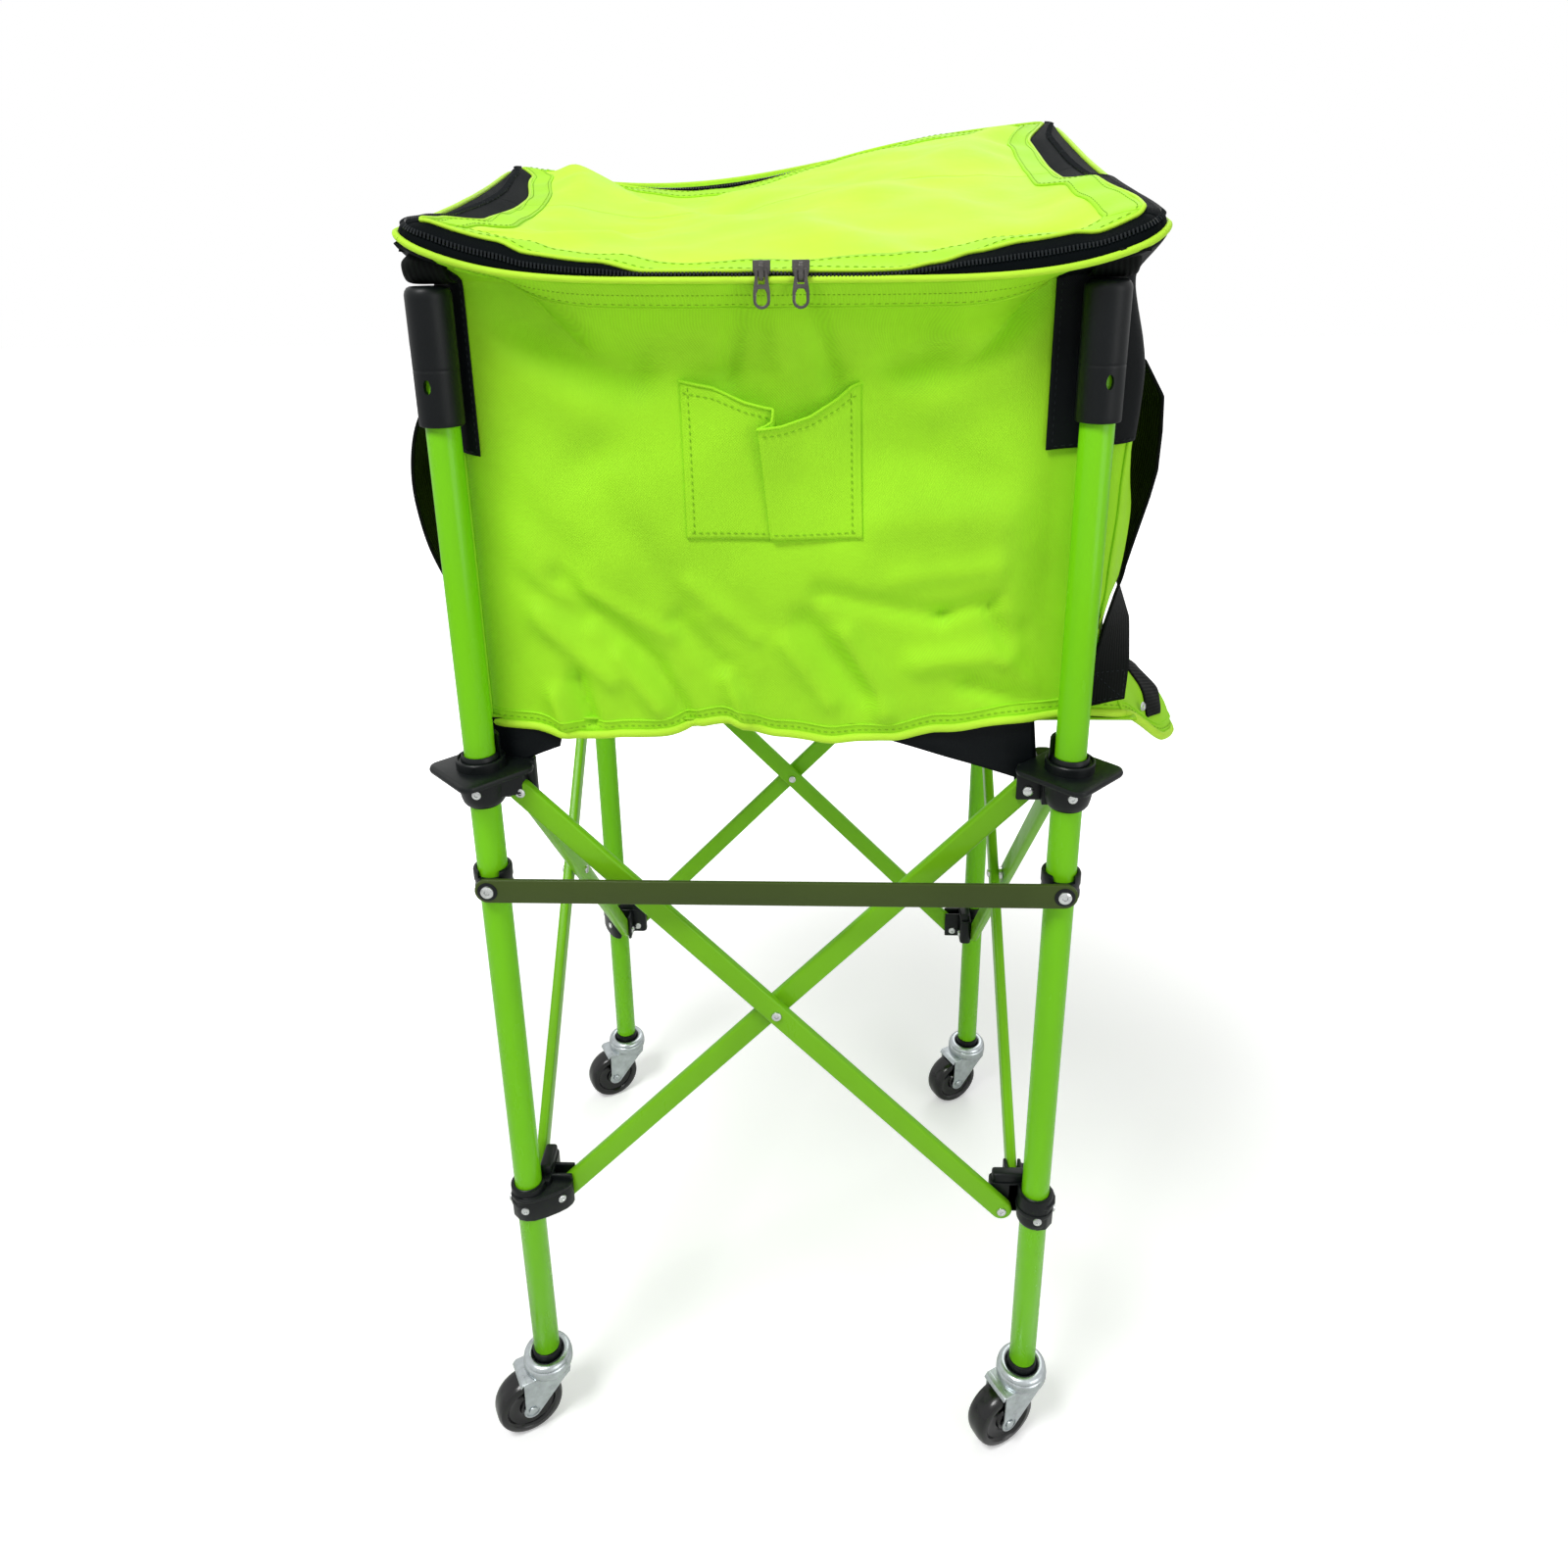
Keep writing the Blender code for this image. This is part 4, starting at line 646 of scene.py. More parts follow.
def upper_bracket():
    """Moulded head bracket: rounded body, diamond plate with raised rings and a round seat for the leg."""
    low, plate_low, plate_high = 0.534, 0.5585, 0.5655
    reach, bend = 0.0375, 0.009
    diamond = []
    for turn in (0, pi / 2, pi, 3 * pi / 2):
        centre = ((reach - bend) * cos(turn), (reach - bend) * sin(turn))
        diamond += circle(bend, 8, centre, turn - pi / 4, pi / 2)
    rings = metres([(2.6, 0), (1, -2), (2.4, 0), (0.8, 1.6), (1.4, 0), (0.8, -1.6)])
    table = slab(diamond, plate_low, plate_high, 0.0013, 3, rings)
    table = cut(table, plug(0.0135, plate_low - 0.01, plate_high + 0.01))
    under = [(x * 0.86, y * 0.86) for x, y in diamond]
    under = slab(under, plate_low - 0.0035, plate_low + 0.001, 0.002)
    under = cut(under, plug(BORE, plate_low - 0.02, plate_low + 0.02))
    seat = metres([(10, 0.5), (14, 0), (15, 1), (15, 6.4), (14.4, 7.1), (13.6, 7.1), (13, 5.8), (11.8, 5.8),
                   (11.4, 8.6), (10.8, 9.6), (10.2, 9.6), (9.9, 9), (10, 0.5)], plate_low)
    bucket = metres([(9.8, 3), (11.8, 1.2), (13, 3), (13.9, 6.2), (14.6, 10.5), (15.1, 16), (15.2, 24), (15.2, 25.1),
                     (9.8, 25.1), (9.8, 3)], low)
    made = bracket_ears(low, plate_low + 0.0005, True)
    made += [collar(low, plate_low + 0.001), table, lathe(seat, ROUND), under, lathe(bucket, ROUND)]
    return joined(made + [back_boot(plate_high, 0.5795)])


def back_boot(start, top):
    """Half sleeve that stands behind the leg on the bracket's plate."""
    foot = metres([(9.9, -1), (13.9, -1), (13.1, 1), (12.7, 3)], start)
    rim = metres([(12.7, -1.2), (12.2, -0.3), (11.5, 0), (10.3, 0), (9.9, -0.4)], top)
    front = metres([(-30, -30), (30, -30), (12, 0.5), (0.5, 12), (-30, 30)])
    return cut(lathe(foot + rim + foot[:1], ROUND), slab(front, start - 0.01, top + 0.01))


def lower_bracket():
    """Sliding bracket: ears, head block, collar and a skirt with a flange round the leg."""
    low, top = 0.205, 0.231
    skirt = metres([(-12, -5.2), (-13.2, 0), (-12.6, 6), (-9.2, 14), (-4.8, 21.5), (-0.8, 26.8), (3, 29.6),
                    (6, 30.4), (8, 30.4), (8, 0), (0, -12), (-7, -10.8)])
    flange = [(x - 0.0012, y) if x < 0.004 else (x, y) for x, y in skirt]
    band = metres([(10, 10), (13, 10.8), (13.3, 12.5), (13, 14.2), (10, 15)], low)
    return joined(bracket_ears(low, top - 0.001, False) + [
        bored(slab(oblong(0.006, 0.0066, 0.029, 0.0152), top - 0.006, top + 0.006, 0.0022, 3)),
        collar(low, top, 0.0004), bored(slab(skirt, low + 0.0002, top - 0.0050, 0.0012, 3)),
        bored(slab(flange, top - 0.0078, top - 0.0052, 0.0008, 3)), lathe(band, ROUND),
    ])


def stadium(length, radius, steps):
    left = circle(radius, steps, (0, 0), pi / 2, pi)
    return left + circle(radius, steps, (length, 0), -pi / 2, pi)


def arm_tube():
    """Flat oval tube with pressed ends; its upper pin is at the origin and it runs along +X."""
    return turned(slab(stadium(ARM_LENGTH, ARM_ROUND, 12), -ARM_HALF, ARM_HALF, 0.0021, 4), TO_REAR)


def heads(x, head, tail):
    """A rod along Y at x with a rivet head on each end."""
    return [
        turned(rivet_mesh(0.0034, 0.0014), facing((x, head, 0), (0, -1, 0))),
        turned(rivet_mesh(0.0034, 0.0014, False), facing((x, tail, 0), (0, 1, 0))),
        turned(rod(0.00245, head, tail, 16), Matrix.Translation((x, 0, 0)) @ TO_REAR),
    ]


def arm_place(side, kind):
    """Matrix for an arm whose upper pin is at its origin."""
    turn = radians(SIDE_TURN[side])
    along, inward = Vector((cos(turn), sin(turn), 0)), Vector((-sin(turn), cos(turn), 0))
    k = SIDES.index(side)
    if kind == "outer":
        at = LEG[CORNERS[k]] + along * PIVOT_OUT + inward * OUTER_IN
    else:
        at = LEG[CORNERS[(k + 1) % 4]] - along * PIVOT_OUT + inward * INNER_IN
        turn += pi
    spin = Matrix.Rotation(turn, 4, "Z") @ Matrix.Rotation(ARM_ANGLE, 4, "Y")
    return Matrix.Translation(at + Vector((0, 0, UPPER_Z))) @ spin


def caster_ring():
    """Domed raceway cup with a rolled lip round the black collar."""
    return lathe(metres([
        (4.6, -1.6), (15, -1.6), (17.2, -0.8), (18.1, 0.6), (18.5, 2.2), (18.5, 5.8), (18.1, 6.8), (17.4, 7.4),
        (17.6, 8), (17.9, 8.8), (17.6, 9.6), (16.6, 11), (15, 11.7), (13.4, 11.8), (12.2, 11.3), (11.4, 10.4),
        (11.2, 8.8), (11.2, 1.2), (4.6, 1.2), (4.6, -1.6),
    ], 0.0537), ROUND)


def caster_fork():
    """Pressed fork: ring, bent roof lip over the wheel and two tapered legs with a sunk axle seat."""
    inner, skin, low = 0.0103, 0.0020, 0.0516
    half, high, edge = inner + skin, low + skin, TRAIL + 0.0048
    roof = slab(oblong(-0.0105, -half, TRAIL + 0.0050, half), low + 0.0004, high + 0.0005, 0.0008)
    lip = metres([(2, 1.2), (5, 0.4), (6.8, -1.4), (7.2, -0.4), (5.6, 2), (2, 2.6)], low, TRAIL)
    lip = turned(slab(lip, -half + 0.0006, half - 0.0006, 0.0003), TO_FRONT)
    made = [caster_ring(), cut(roof, plug(0.0046, 0.04, 0.07, 24)), lip]
    shape = [(-0.0138, high), (-0.0128, low - 0.004), (-0.0085, low - 0.0075)]
    shape += circle(0.0068, 14, (TRAIL, WHEEL_RADIUS), pi + 0.85, pi - 0.15)
    shape += [(edge, low - 0.0040), (edge, high + 0.0003)]
    leg = turned(slab(shape, -skin / 2, skin / 2, 0.0006, 3), TO_FRONT)
    for side in (-1, 1):
        sunk, proud = (facing((TRAIL, side * y, WHEEL_RADIUS), (0, side, 0)) for y in (skin / 2, half - 0.0006))
        seated = cut(leg, turned(rod(0.0052, -0.0006, 0.0010, 28), sunk))
        made.append(turned(seated, Matrix.Translation((0, side * (inner + skin / 2), 0))))
        made.append(turned(rivet_mesh(0.0034, 0.0016, side < 0), proud))
    axle = rod(0.0030, -half, half, 20)
    return joined(made + [turned(axle, Matrix.Translation((TRAIL, 0, WHEEL_RADIUS)) @ TO_FRONT)])


def wheel():
    """Glossy wheel: crowned tread, raised shoulder, dished face and hub."""
    side = metres([(3.3, -0.4), (7, -0.4), (8, -1), (9, -3), (11, -3.6), (15, -3.4), (17.2, -2.6), (18, -0.8),
                   (18.8, -0.1), (21.6, -0.2), (23.2, -1), (24.3, -2.8), (24.9, -5.2), (25, -7.5)], 0.0095)
    return turned(lathe(side + [(a, -b) for a, b in reversed(side)] + side[:1], 56), TO_FRONT)


def build_legs():
    tube_mesh, shell = leg_tube(), cap_shell()
    for corner, look in zip(CORNERS, (-10, 10, 170, -170)):
        leg, cap = "leg_" + corner, "leg_cap_" + corner
        piece("leg_tube_" + corner, turned(tube_mesh, at_leg(corner)), "leg", BODY[leg], [leg])
        piece("cap_shell_" + corner, turned(shell, at_leg(corner, 0, look)), "cap", BODY[cap], [cap])


def build_brackets():
    upper, lower = upper_bracket(), turned(lower_bracket(), Matrix.Diagonal((1, -1, 1, 1)))
    small = rivet_mesh(0.0030, 0.0012)
    skirt_pin = turned(small, facing((-0.0028, -0.0240, LOWER_Z + 0.0052), (-0.80, -0.60, 0)))
    for corner in CORNERS:
        head, slide = "upper_bracket_" + corner, "lower_bracket_" + corner
        piece("bracket_head_" + corner, turned(upper, at_leg(corner, 0, TURN[corner])), "bracket", BODY[head], [head])
        add_leg_pins(corner, UPPER_Z + 0.005, "head_pins_", BODY[head], 0.0146)
        place = at_leg(corner, 0, TURN[corner] + 90)
        piece("bracket_slide_" + corner, turned(lower, place), "bracket", BODY[slide], [slide])
        add_leg_pins(corner, LOWER_Z + 0.0035, "slide_pins_", BODY[slide], 0.0132)
        piece("skirt_pin_" + corner, turned(skirt_pin, place), "rivet", BODY[slide])


def add_leg_pins(corner, height, name, body, radius):
    """Bright rivets through the bracket on the two faces that look outward."""
    made = []
    for way in ((0, -1 if corner[0] == "f" else 1, 0), (-1 if corner[1] == "l" else 1, 0, 0)):
        at = LEG[corner] + Vector(way) * radius + Vector((0, 0, height))
        made.append(turned(rivet_mesh(0.0030, 0.0012), facing(at, way)))
    piece(name + corner, joined(made), "rivet", body)


def build_arms():
    base, apart = arm_tube(), INNER_IN - OUTER_IN
    spacer = turned(rod(0.0048, 0.0038, apart - 0.0038, 24), TO_REAR)
    cross = joined(heads(0, -ARM_HALF - FIT, apart + ARM_HALF + FIT) + [spacer])
    # How far each arm's end rivets reach to the front and to the rear of it
    reach = {"outer": (-ARM_HALF, 0.016 - OUTER_IN + FIT), "inner": (-0.0067, 0.0067)}
    for side in SIDES:
        for kind, ends in reach.items():
            name = side + "_" + kind + "_arm"
            place = arm_place(side, kind)
            piece("tube_" + name, turned(base, place), "arm", BODY[name], [name])
            pins = joined(heads(0, *ends) + heads(ARM_LENGTH, *ends))
            piece("rivets_" + name, turned(pins, place), "rivet", BODY[name])
        name = "crossing_rivet_" + side
        place = arm_place(side, "outer") @ Matrix.Translation((ARM_LENGTH / 2, 0, 0))
        piece("cross_pin_" + side, turned(cross, place), "rivet", BODY[name], [name])


def build_lock_bar():
    """Flat bar across the front with its washers, saddles and studs."""
    low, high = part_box("lock_bar")
    body = BODY["lock_bar"]
    flat = slab(stadium(SPACING, 0.0083, 14), -0.0015, 0.0015, 0.0009, 3)
    place = Matrix.Translation((LEG["fl"].x, (low.y + high.y) / 2, BAR_Z)) @ TO_REAR
    piece("bar_plate", turned(flat, place), "bar", body, ["lock_bar"])
    washer = lathe(metres([(3, 0), (6.4, 0), (6.4, 0.4), (5.9, 0.7), (3.4, 0.7), (3, 0)]), 32)
    pair = [turned(washer, facing((LEG[c].x, low.y + 0.0001, BAR_Z), (0, -1, 0))) for c in ("fl", "fr")]
    piece("bar_washers", joined(pair), "bracket", body)
    saddle = lathe(metres([
        (9.8, -6.7), (10.3, -7.2), (11.1, -7.2), (12, -6.8), (12.3, -6), (12.3, -3), (11.8, -2), (11.8, 2), (12.3, 3),
        (12.3, 9.4), (12, 10.2), (11.1, 10.6), (10.3, 10.6), (9.8, 10.1), (9.8, -6.7),
    ], BAR_Z), ROUND)
    saddle = cut(saddle, slab(oblong(-SADDLE_MOUTH, -0.03, SADDLE_MOUTH, 0), BAR_Z + 0.0066, BAR_Z + 0.0206))
    front = 0.0159
    stud = turned(rod(0.0025, 0.0100, front, 24), Matrix.Translation((0, 0, BAR_Z)) @ TO_FRONT)
    head = turned(rivet_mesh(0.0044, 0.0018), facing((0, -front + 0.0002, BAR_Z), (0, -1, 0)))
    for corner, word in (("fl", "left"), ("fr", "right")):
        name = "bar_clamp_" + word
        piece("saddle_" + word, turned(saddle, at_leg(corner)), "bracket", BODY[name], [name])
        piece("stud_" + word, turned(joined([stud, head]), at_leg(corner)), "rivet", BODY[name])


def build_casters():
    fork, rim_wheel = caster_fork(), wheel()
    flange = lathe(metres([
        (0, 49.7), (5.6, 49.7), (5.6, 51.3), (4, 51.3), (4, 57.5), (9.6, 57.5), (10.5, 58.2), (10.5, 68),
        (10.1, 69.2), (9.2, 69.7), (8, 69.7), (8, 93), (6, 95), (0, 95),
    ]), 36)
    for corner in CORNERS:
        turn = at_leg(corner, 0, TRAIL_TURN)
        for name, replaced, mesh, material, place in (
            ("stem_collar_", "caster_stem_", flange, "cap", at_leg(corner)),
            ("fork_", "caster_fork_", fork, "zinc", turn),
            ("tyre_", "wheel_", rim_wheel, "wheel", turn @ Matrix.Translation((TRAIL, 0, WHEEL_RADIUS))),
        ):
            node_name = replaced + corner
            piece(name + corner, turned(mesh, place), material, BODY[node_name], [node_name])


# Bag surface

LONG_X, LONG_Y = BAG_RIGHT - BAG_LEFT, BAG_REAR - BAG_FRONT
LONG_SIDES = ("front", "rear")
BELT = 7 / 12
FOLD_GAIN = 1.35
# Height of the front wall's lower edge along x
HEM_LINE = metre_rows(
    (-184, 582), (-150, 580), (-115, 574), (-80, 575), (-27, 585), (4, 576), (36.5, 571), (70, 573), (102, 580),
    (140, 586), (173, 590), (238, 583),
)
RIM_SAG_FRONT, RIM_SAG_REAR, RIM_SAG_LEAN, RIM_SAG_SIDE = 0.0228, 0.0170, 0.8, 0.004


def side_run(side):
    """(length, arc of half a corner, whole run) along a side of the bag's outline."""
    length = LONG_X if side in LONG_SIDES else LONG_Y
    arc = CORNER_ROUND * pi / 4
    return length, arc, length - 2 * CORNER_ROUND + 2 * arc


def outline(side, t):
    """(u, v, out x, out y) on the bag's rounded outline; t runs along the side, u and v over the whole bag."""
    length, arc, total = side_run(side)
    s = t * total
    near = min(s, total - s)
    lean = radians(45) * (1 - near / arc) if near < arc else 0.0
    along = CORNER_ROUND - CORNER_ROUND * sin(lean) if near < arc else CORNER_ROUND + near - arc
    inward = CORNER_ROUND - CORNER_ROUND * cos(lean)
    if s > total / 2:
        along = length - along
        lean = -lean
    out_a, out_i = -sin(lean), cos(lean)
    if side == "front":
        return along / LONG_X, inward / LONG_Y, out_a, -out_i
    if side == "rear":
        return along / LONG_X, 1 - inward / LONG_Y, out_a, out_i
    if side == "right":
        return 1 - inward / LONG_X, along / LONG_Y, out_i, out_a
    return inward / LONG_X, along / LONG_Y, -out_i, out_a


def over_corners(u, v, axis):
    fl, fr, rl, rr = (RIM[corner][axis] for corner in ("fl", "fr", "rl", "rr"))
    return mix(mix(fl, fr, u), mix(rl, rr, u), v)


def rim_height(u, v):
    corner = over_corners(u, v, 2)
    u, v = min(max(u, 0), 1), min(max(v, 0), 1)
    front = RIM_SAG_FRONT * (1 - abs(2 * u - 1) ** 5)
    rear = RIM_SAG_REAR * sin(pi * u) * (1 + RIM_SAG_LEAN * cos(pi * u))
    return corner - mix(front, rear, v) - RIM_SAG_SIDE * sin(pi * v)


def rim_point(u, v):
    return Vector((over_corners(u, v, 0) + CENTRE_X, over_corners(u, v, 1), rim_height(u, v)))


def flap(v):
    if v < 0.2:
        return mix(FLAP_START, FLAP_REACH, smooth(v / 0.2))
    return FLAP_REACH * (1 - smooth((v - 0.2) / 0.6))


def side_bulge(u, v, z):
    """The full bag stands out on the right behind its front corner, most of all under the rim."""
    high = curve_at([(0.640, 0.0), (0.670, 0.0040), (0.720, 0.0068), (0.790, 0.0105), (0.850, 0.0)], z)
    return high * smooth((u - 0.90) / 0.09) * (1 - smooth((v - 0.42) / 0.40))


def right_out(v, z):
    return flap(v) * (1 - smooth((z - BAG_BOTTOM + FLAP_DROP) / (FLAP_TOP - BAG_BOTTOM + FLAP_DROP)))


def bottom_z(u, v):
    """Height of the bag's wavy lower hem."""
    plain = BAG_BOTTOM - FLAP_DROP * (flap(v) / FLAP_REACH) * smooth((u - 0.8) / 0.2)
    plain += 0.004 * wave(u * 5, v * 5, 3.7, 1.0)
    front = curve_at(HEM_LINE, mix(BAG_LEFT, BAG_RIGHT, u))
    return mix(front, plain, smooth(v / 0.12))


def flare_start(u, v):
    along = max(min(u, 1 - u), min(v, 1 - v))
    return mix(0.8435, 0.795, smooth((along - 0.10) / 0.16))


def crease(x, z, ax, az, bx, bz, wide, high):
    """Soft fold of a cloth along the line from a to b."""
    run_x, run_z = bx - ax, bz - az
    share = ((x - ax) * run_x + (z - az) * run_z) / (run_x * run_x + run_z * run_z)
    share = min(max(share, 0.0), 1.0)
    gap = hypot(x - ax - run_x * share, z - az - run_z * share)
    return high * FALL ** (-(gap / wide) ** 2)


# Folds of the walls, each from (x, z) to (x, z), then its width and how far it stands out
FRONT_FOLDS = metre_rows(
    (-171, 834, -75, 796, 13, -5.2), (-168, 812, -100, 776, 16, 3), (166, 838, 72, 800, 13, -5.2),
    (160, 812, 95, 780, 16, 3), (-80, 818, 85, 818, 14, -5.2), (-150, 700, 150, 690, 50, 5.6),
    (-168, 745, -120, 690, 14, -2.6), (-100, 745, -50, 660, 15, -2.8), (-86, 735, -40, 655, 12, 2.6),
    (72, 752, 150, 722, 16, -2.6), (62, 710, 140, 716, 12, 2.2), (-125, 676, -70, 620, 7, -4.2),
    (-140, 652, -98, 612, 7, 3.8), (-160, 680, -112, 650, 6, -3.2), (-108, 668, -60, 640, 5, 2.4),
    (-120, 612, -112, 582, 5, -5.6), (-134, 602, -128, 580, 5, 4.2), (-66, 612, -50, 582, 5, -4.2),
    (-92, 626, -70, 592, 6, 3.4), (-55, 648, -24, 612, 8, -3.4), (-46, 672, -10, 640, 6, 2.4),
    (-26, 612, -18, 586, 6, 5.8), (20, 650, 58, 600, 8, -4.8), (8, 636, 34, 596, 6, 3), (44, 642, 68, 590, 7, 4.4),
    (30, 668, 100, 652, 6, -3.4), (100, 654, 132, 664, 5, -3.4), (88, 622, 140, 630, 8, 4), (74, 676, 132, 684, 7, 2),
    (128, 658, 140, 634, 4.5, -4.4), (118, 608, 158, 594, 6, -4.8), (139, 624, 160, 600, 5, 4.6),
    (152, 644, 166, 598, 6, -4), (-12, 838, -22, 792, 6, -3.4), (22, 838, 36, 790, 6, -3.4),
    (4, 836, 10, 796, 7, 2.2),
)
SIDE_FOLDS = metre_rows(
    (-140, 830, -50, 770, 20, -3.4), (140, 835, 50, 775, 20, -3.4), (-120, 690, 120, 690, 50, 6),
    (-120, 640, -70, 600, 10, -3), (60, 650, 120, 610, 12, -3.4), (-20, 620, 10, 585, 8, 3.4),
    (30, 625, 50, 585, 8, -3.4), (-90, 730, -40, 690, 14, -3), (-100, 660, -30, 640, 10, 2.6),
    (50, 740, 110, 690, 14, -2.8),
)


def wrinkle(side, u, v, z):
    """How far the cloth stands in or out of the plain bag surface."""
    x = mix(BAG_LEFT, BAG_RIGHT, u) if side in LONG_SIDES else mix(BAG_FRONT, BAG_REAR, v)
    seed = {"front": 1.3, "rear": 8.1, "left": 4.9, "right": 6.2}[side]
    place = x if side in ("front", "left") else -x
    folds = FRONT_FOLDS if side == "front" else SIDE_FOLDS
    out = FOLD_GAIN * sum(crease(place, z, *f) for f in folds)
    out += 0.0042 * wave(x, seed, z, 9.0) + 0.0013 * wave(x, seed + 3, z, 34.0)
    low = smooth((0.66 - z) / 0.08)
    out += low * 0.0022 * wave(x * 1.6, seed + 7, z * 0.7, 42.0)
    free = smooth((SPACING / 2 - abs(x) - 0.016) / 0.035)
    calm = 1 - 0.75 * smooth((z - 0.835) / 0.02)
    return mix(-0.0024, out, free) * calm


def bag_point(side, t, h, lift=0.0):
    """Point on the bag's cloth: t along the side, h from the hem at 0 to the rim at 1."""
    u, v, out_x, out_y = outline(side, t)
    rim = rim_point(u, v)
    start = flare_start(u, v)
    if h <= BELT:
        z = mix(bottom_z(u, v), start, h / BELT)
        f = 0.0
    else:
        w = (h - BELT) / (1 - BELT)
        z = mix(start, rim.z, w)
        f = 0.5 * smooth(w) + 0.5 * w
    x = mix(BAG_LEFT, BAG_RIGHT, u) + right_out(v, z) * smooth((u - 0.75) / 0.25) + CENTRE_X
    x += side_bulge(u, v, z)
    y = mix(BAG_FRONT, BAG_REAR, v)
    out = wrinkle(side, u, v, z) + lift
    return Vector((mix(x, rim.x, f), mix(y, rim.y, f), z)) + Vector((out_x, out_y, 0)) * out


def h_at(side, t, z):
    u, v, _, _ = outline(side, t)
    start = flare_start(u, v)
    if z >= start:
        return BELT + (1 - BELT) * (z - start) / (rim_height(u, v) - start)
    low = bottom_z(u, v)
    return BELT * (z - low) / (start - low)


def bag_at(side, t, z, lift=0.0):
    return bag_point(side, t, min(max(h_at(side, t, z), 0.0), 1.0), lift)


def t_at(side, place):
    """The t whose bag place along the side is place, in the bag's own x or y."""
    length, arc, total = side_run(side)
    along = min(max(place - (BAG_LEFT if side in LONG_SIDES else BAG_FRONT), 0.0), length)
    if along < CORNER_ROUND:
        return (arc - asin(1 - along / CORNER_ROUND) * CORNER_ROUND) / total
    if along > length - CORNER_ROUND:
        return 1 - (arc - asin(1 - (length - along) / CORNER_ROUND) * CORNER_ROUND) / total
    return (arc + along - CORNER_ROUND) / total


def faces_out(side):
    """Whether a grid of (t, h) on this side has to be turned to face out."""
    return side in ("rear", "left")


# Bag pieces

def build_walls():
    for side in SIDES:
        mesh = grid(132 if side in LONG_SIDES else 116, 96, lambda a, b: bag_point(side, a, b), faces_out(side))
        sewn("cloth_" + side, mesh, "cloth", side, 60, 0.0012, replaces=True)
    build_hems()
    build_facing()
    build_patches()
    build_webs()


def side_path(side, height, lift):
    return [bag_point(side, k / 100, height, lift) for k in range(101)]


def build_hems():
    """Bound lower edge, rim piping and the seams at the corners."""
    for side in SIDES:
        def over_hem(up, lift, count):
            return [bag_at(side, k / count, bag_point(side, k / count, 0).z + up, lift) for k in range(count + 1)]
        sewn("hem_" + side, tube(side_path(side, 0.0, 0.0002), 0.0022, 8, 1.25), "piping", side)
        rim = [p + Vector((0, 0, 0.0006)) for p in side_path(side, 1.0, 0.0012)]
        sewn("rim_piping_" + side, tube(rim, 0.0019, 10), "piping", side)
        sewn("hem_stitch_" + side, stitches(over_hem(0.0052, 0.0003, 110), lift=WAY_OUT[side]), "thread", side)
        sewn("hem_fold_" + side, tube(over_hem(0.0088, 0.0001, 100), 0.0007, 6), "cloth", side)
    for corner, side, t in (("fl", "front", 0.0), ("fr", "front", 1.0), ("rr", "rear", 1.0), ("rl", "rear", 0.0)):
        seam = [bag_point(side, t, k / 40, 0.0003) for k in range(41)]
        sewn("corner_seam_" + corner, tube(seam, 0.0011, 7), "cloth", side)


# First and last share of each side that the strip under the rim runs over
FACING_SPAN = {"front": (0.058, 0.875), "rear": (0.085, 0.875), "left": (0.05, 0.95), "right": (0.05, 0.95)}


def build_facing():
    """Sewn facing strip under the rim, deepest in the middle of each wall."""
    for side in SIDES:
        mesh = grid(110, 10, lambda a, b: facing_point(side, a, b, 0.0009), faces_out(side))
        sewn("facing_" + side, mesh, "cloth", side, 60, 0.0011)
        for name, share, gap in (("low", 0.14, 0.0040), ("mid", 0.52, 0.0026)):
            row = [facing_point(side, k / 99, share, 0.0010, 0.02) for k in range(100)]
            sewn("facing_stitch_" + name + "_" + side, stitches(row, gap, gap * 0.66, WAY_OUT[side]), "thread", side)
        edge = [facing_point(side, k / 99, 0.0, 0.0008) for k in range(100)]
        sewn("facing_edge_" + side, tube(edge, 0.0009, 6), "cloth", side)


def facing_point(side, a, share, lift, margin=0.0):
    """Point on the facing strip: share is 0 at its lower edge and 1 just under the rim."""
    first, last = FACING_SPAN[side]
    t = mix(first + margin, last - margin, a)
    u, v, _, _ = outline(side, t)
    along = u if side in LONG_SIDES else v
    depth = 0.0028 + 0.0100 * smooth((min(along, 1 - along) - 0.035) / 0.22)
    return bag_at(side, t, bag_point(side, t, 1.0).z - 0.0010 - depth * (1 - share), lift)


# Side, first and last place along it, and the height of the lower edge at each
PATCHES = {
    "front_left": ("front", -0.184, -0.1646, 0.7530, 0.7480),
    "front_right": ("front", 0.1555, 0.2030, 0.7500, 0.7550),
    "rear_left": ("rear", -0.184, -0.1540, 0.7510, 0.7530),
    "rear_right": ("rear", 0.1540, 0.2030, 0.7510, 0.7550),
}
# The narrow patch's standing fold: how far it stands out and its width as a share of the patch
PLEAT_OUT, PLEAT_WIDE = 0.0026, 0.1


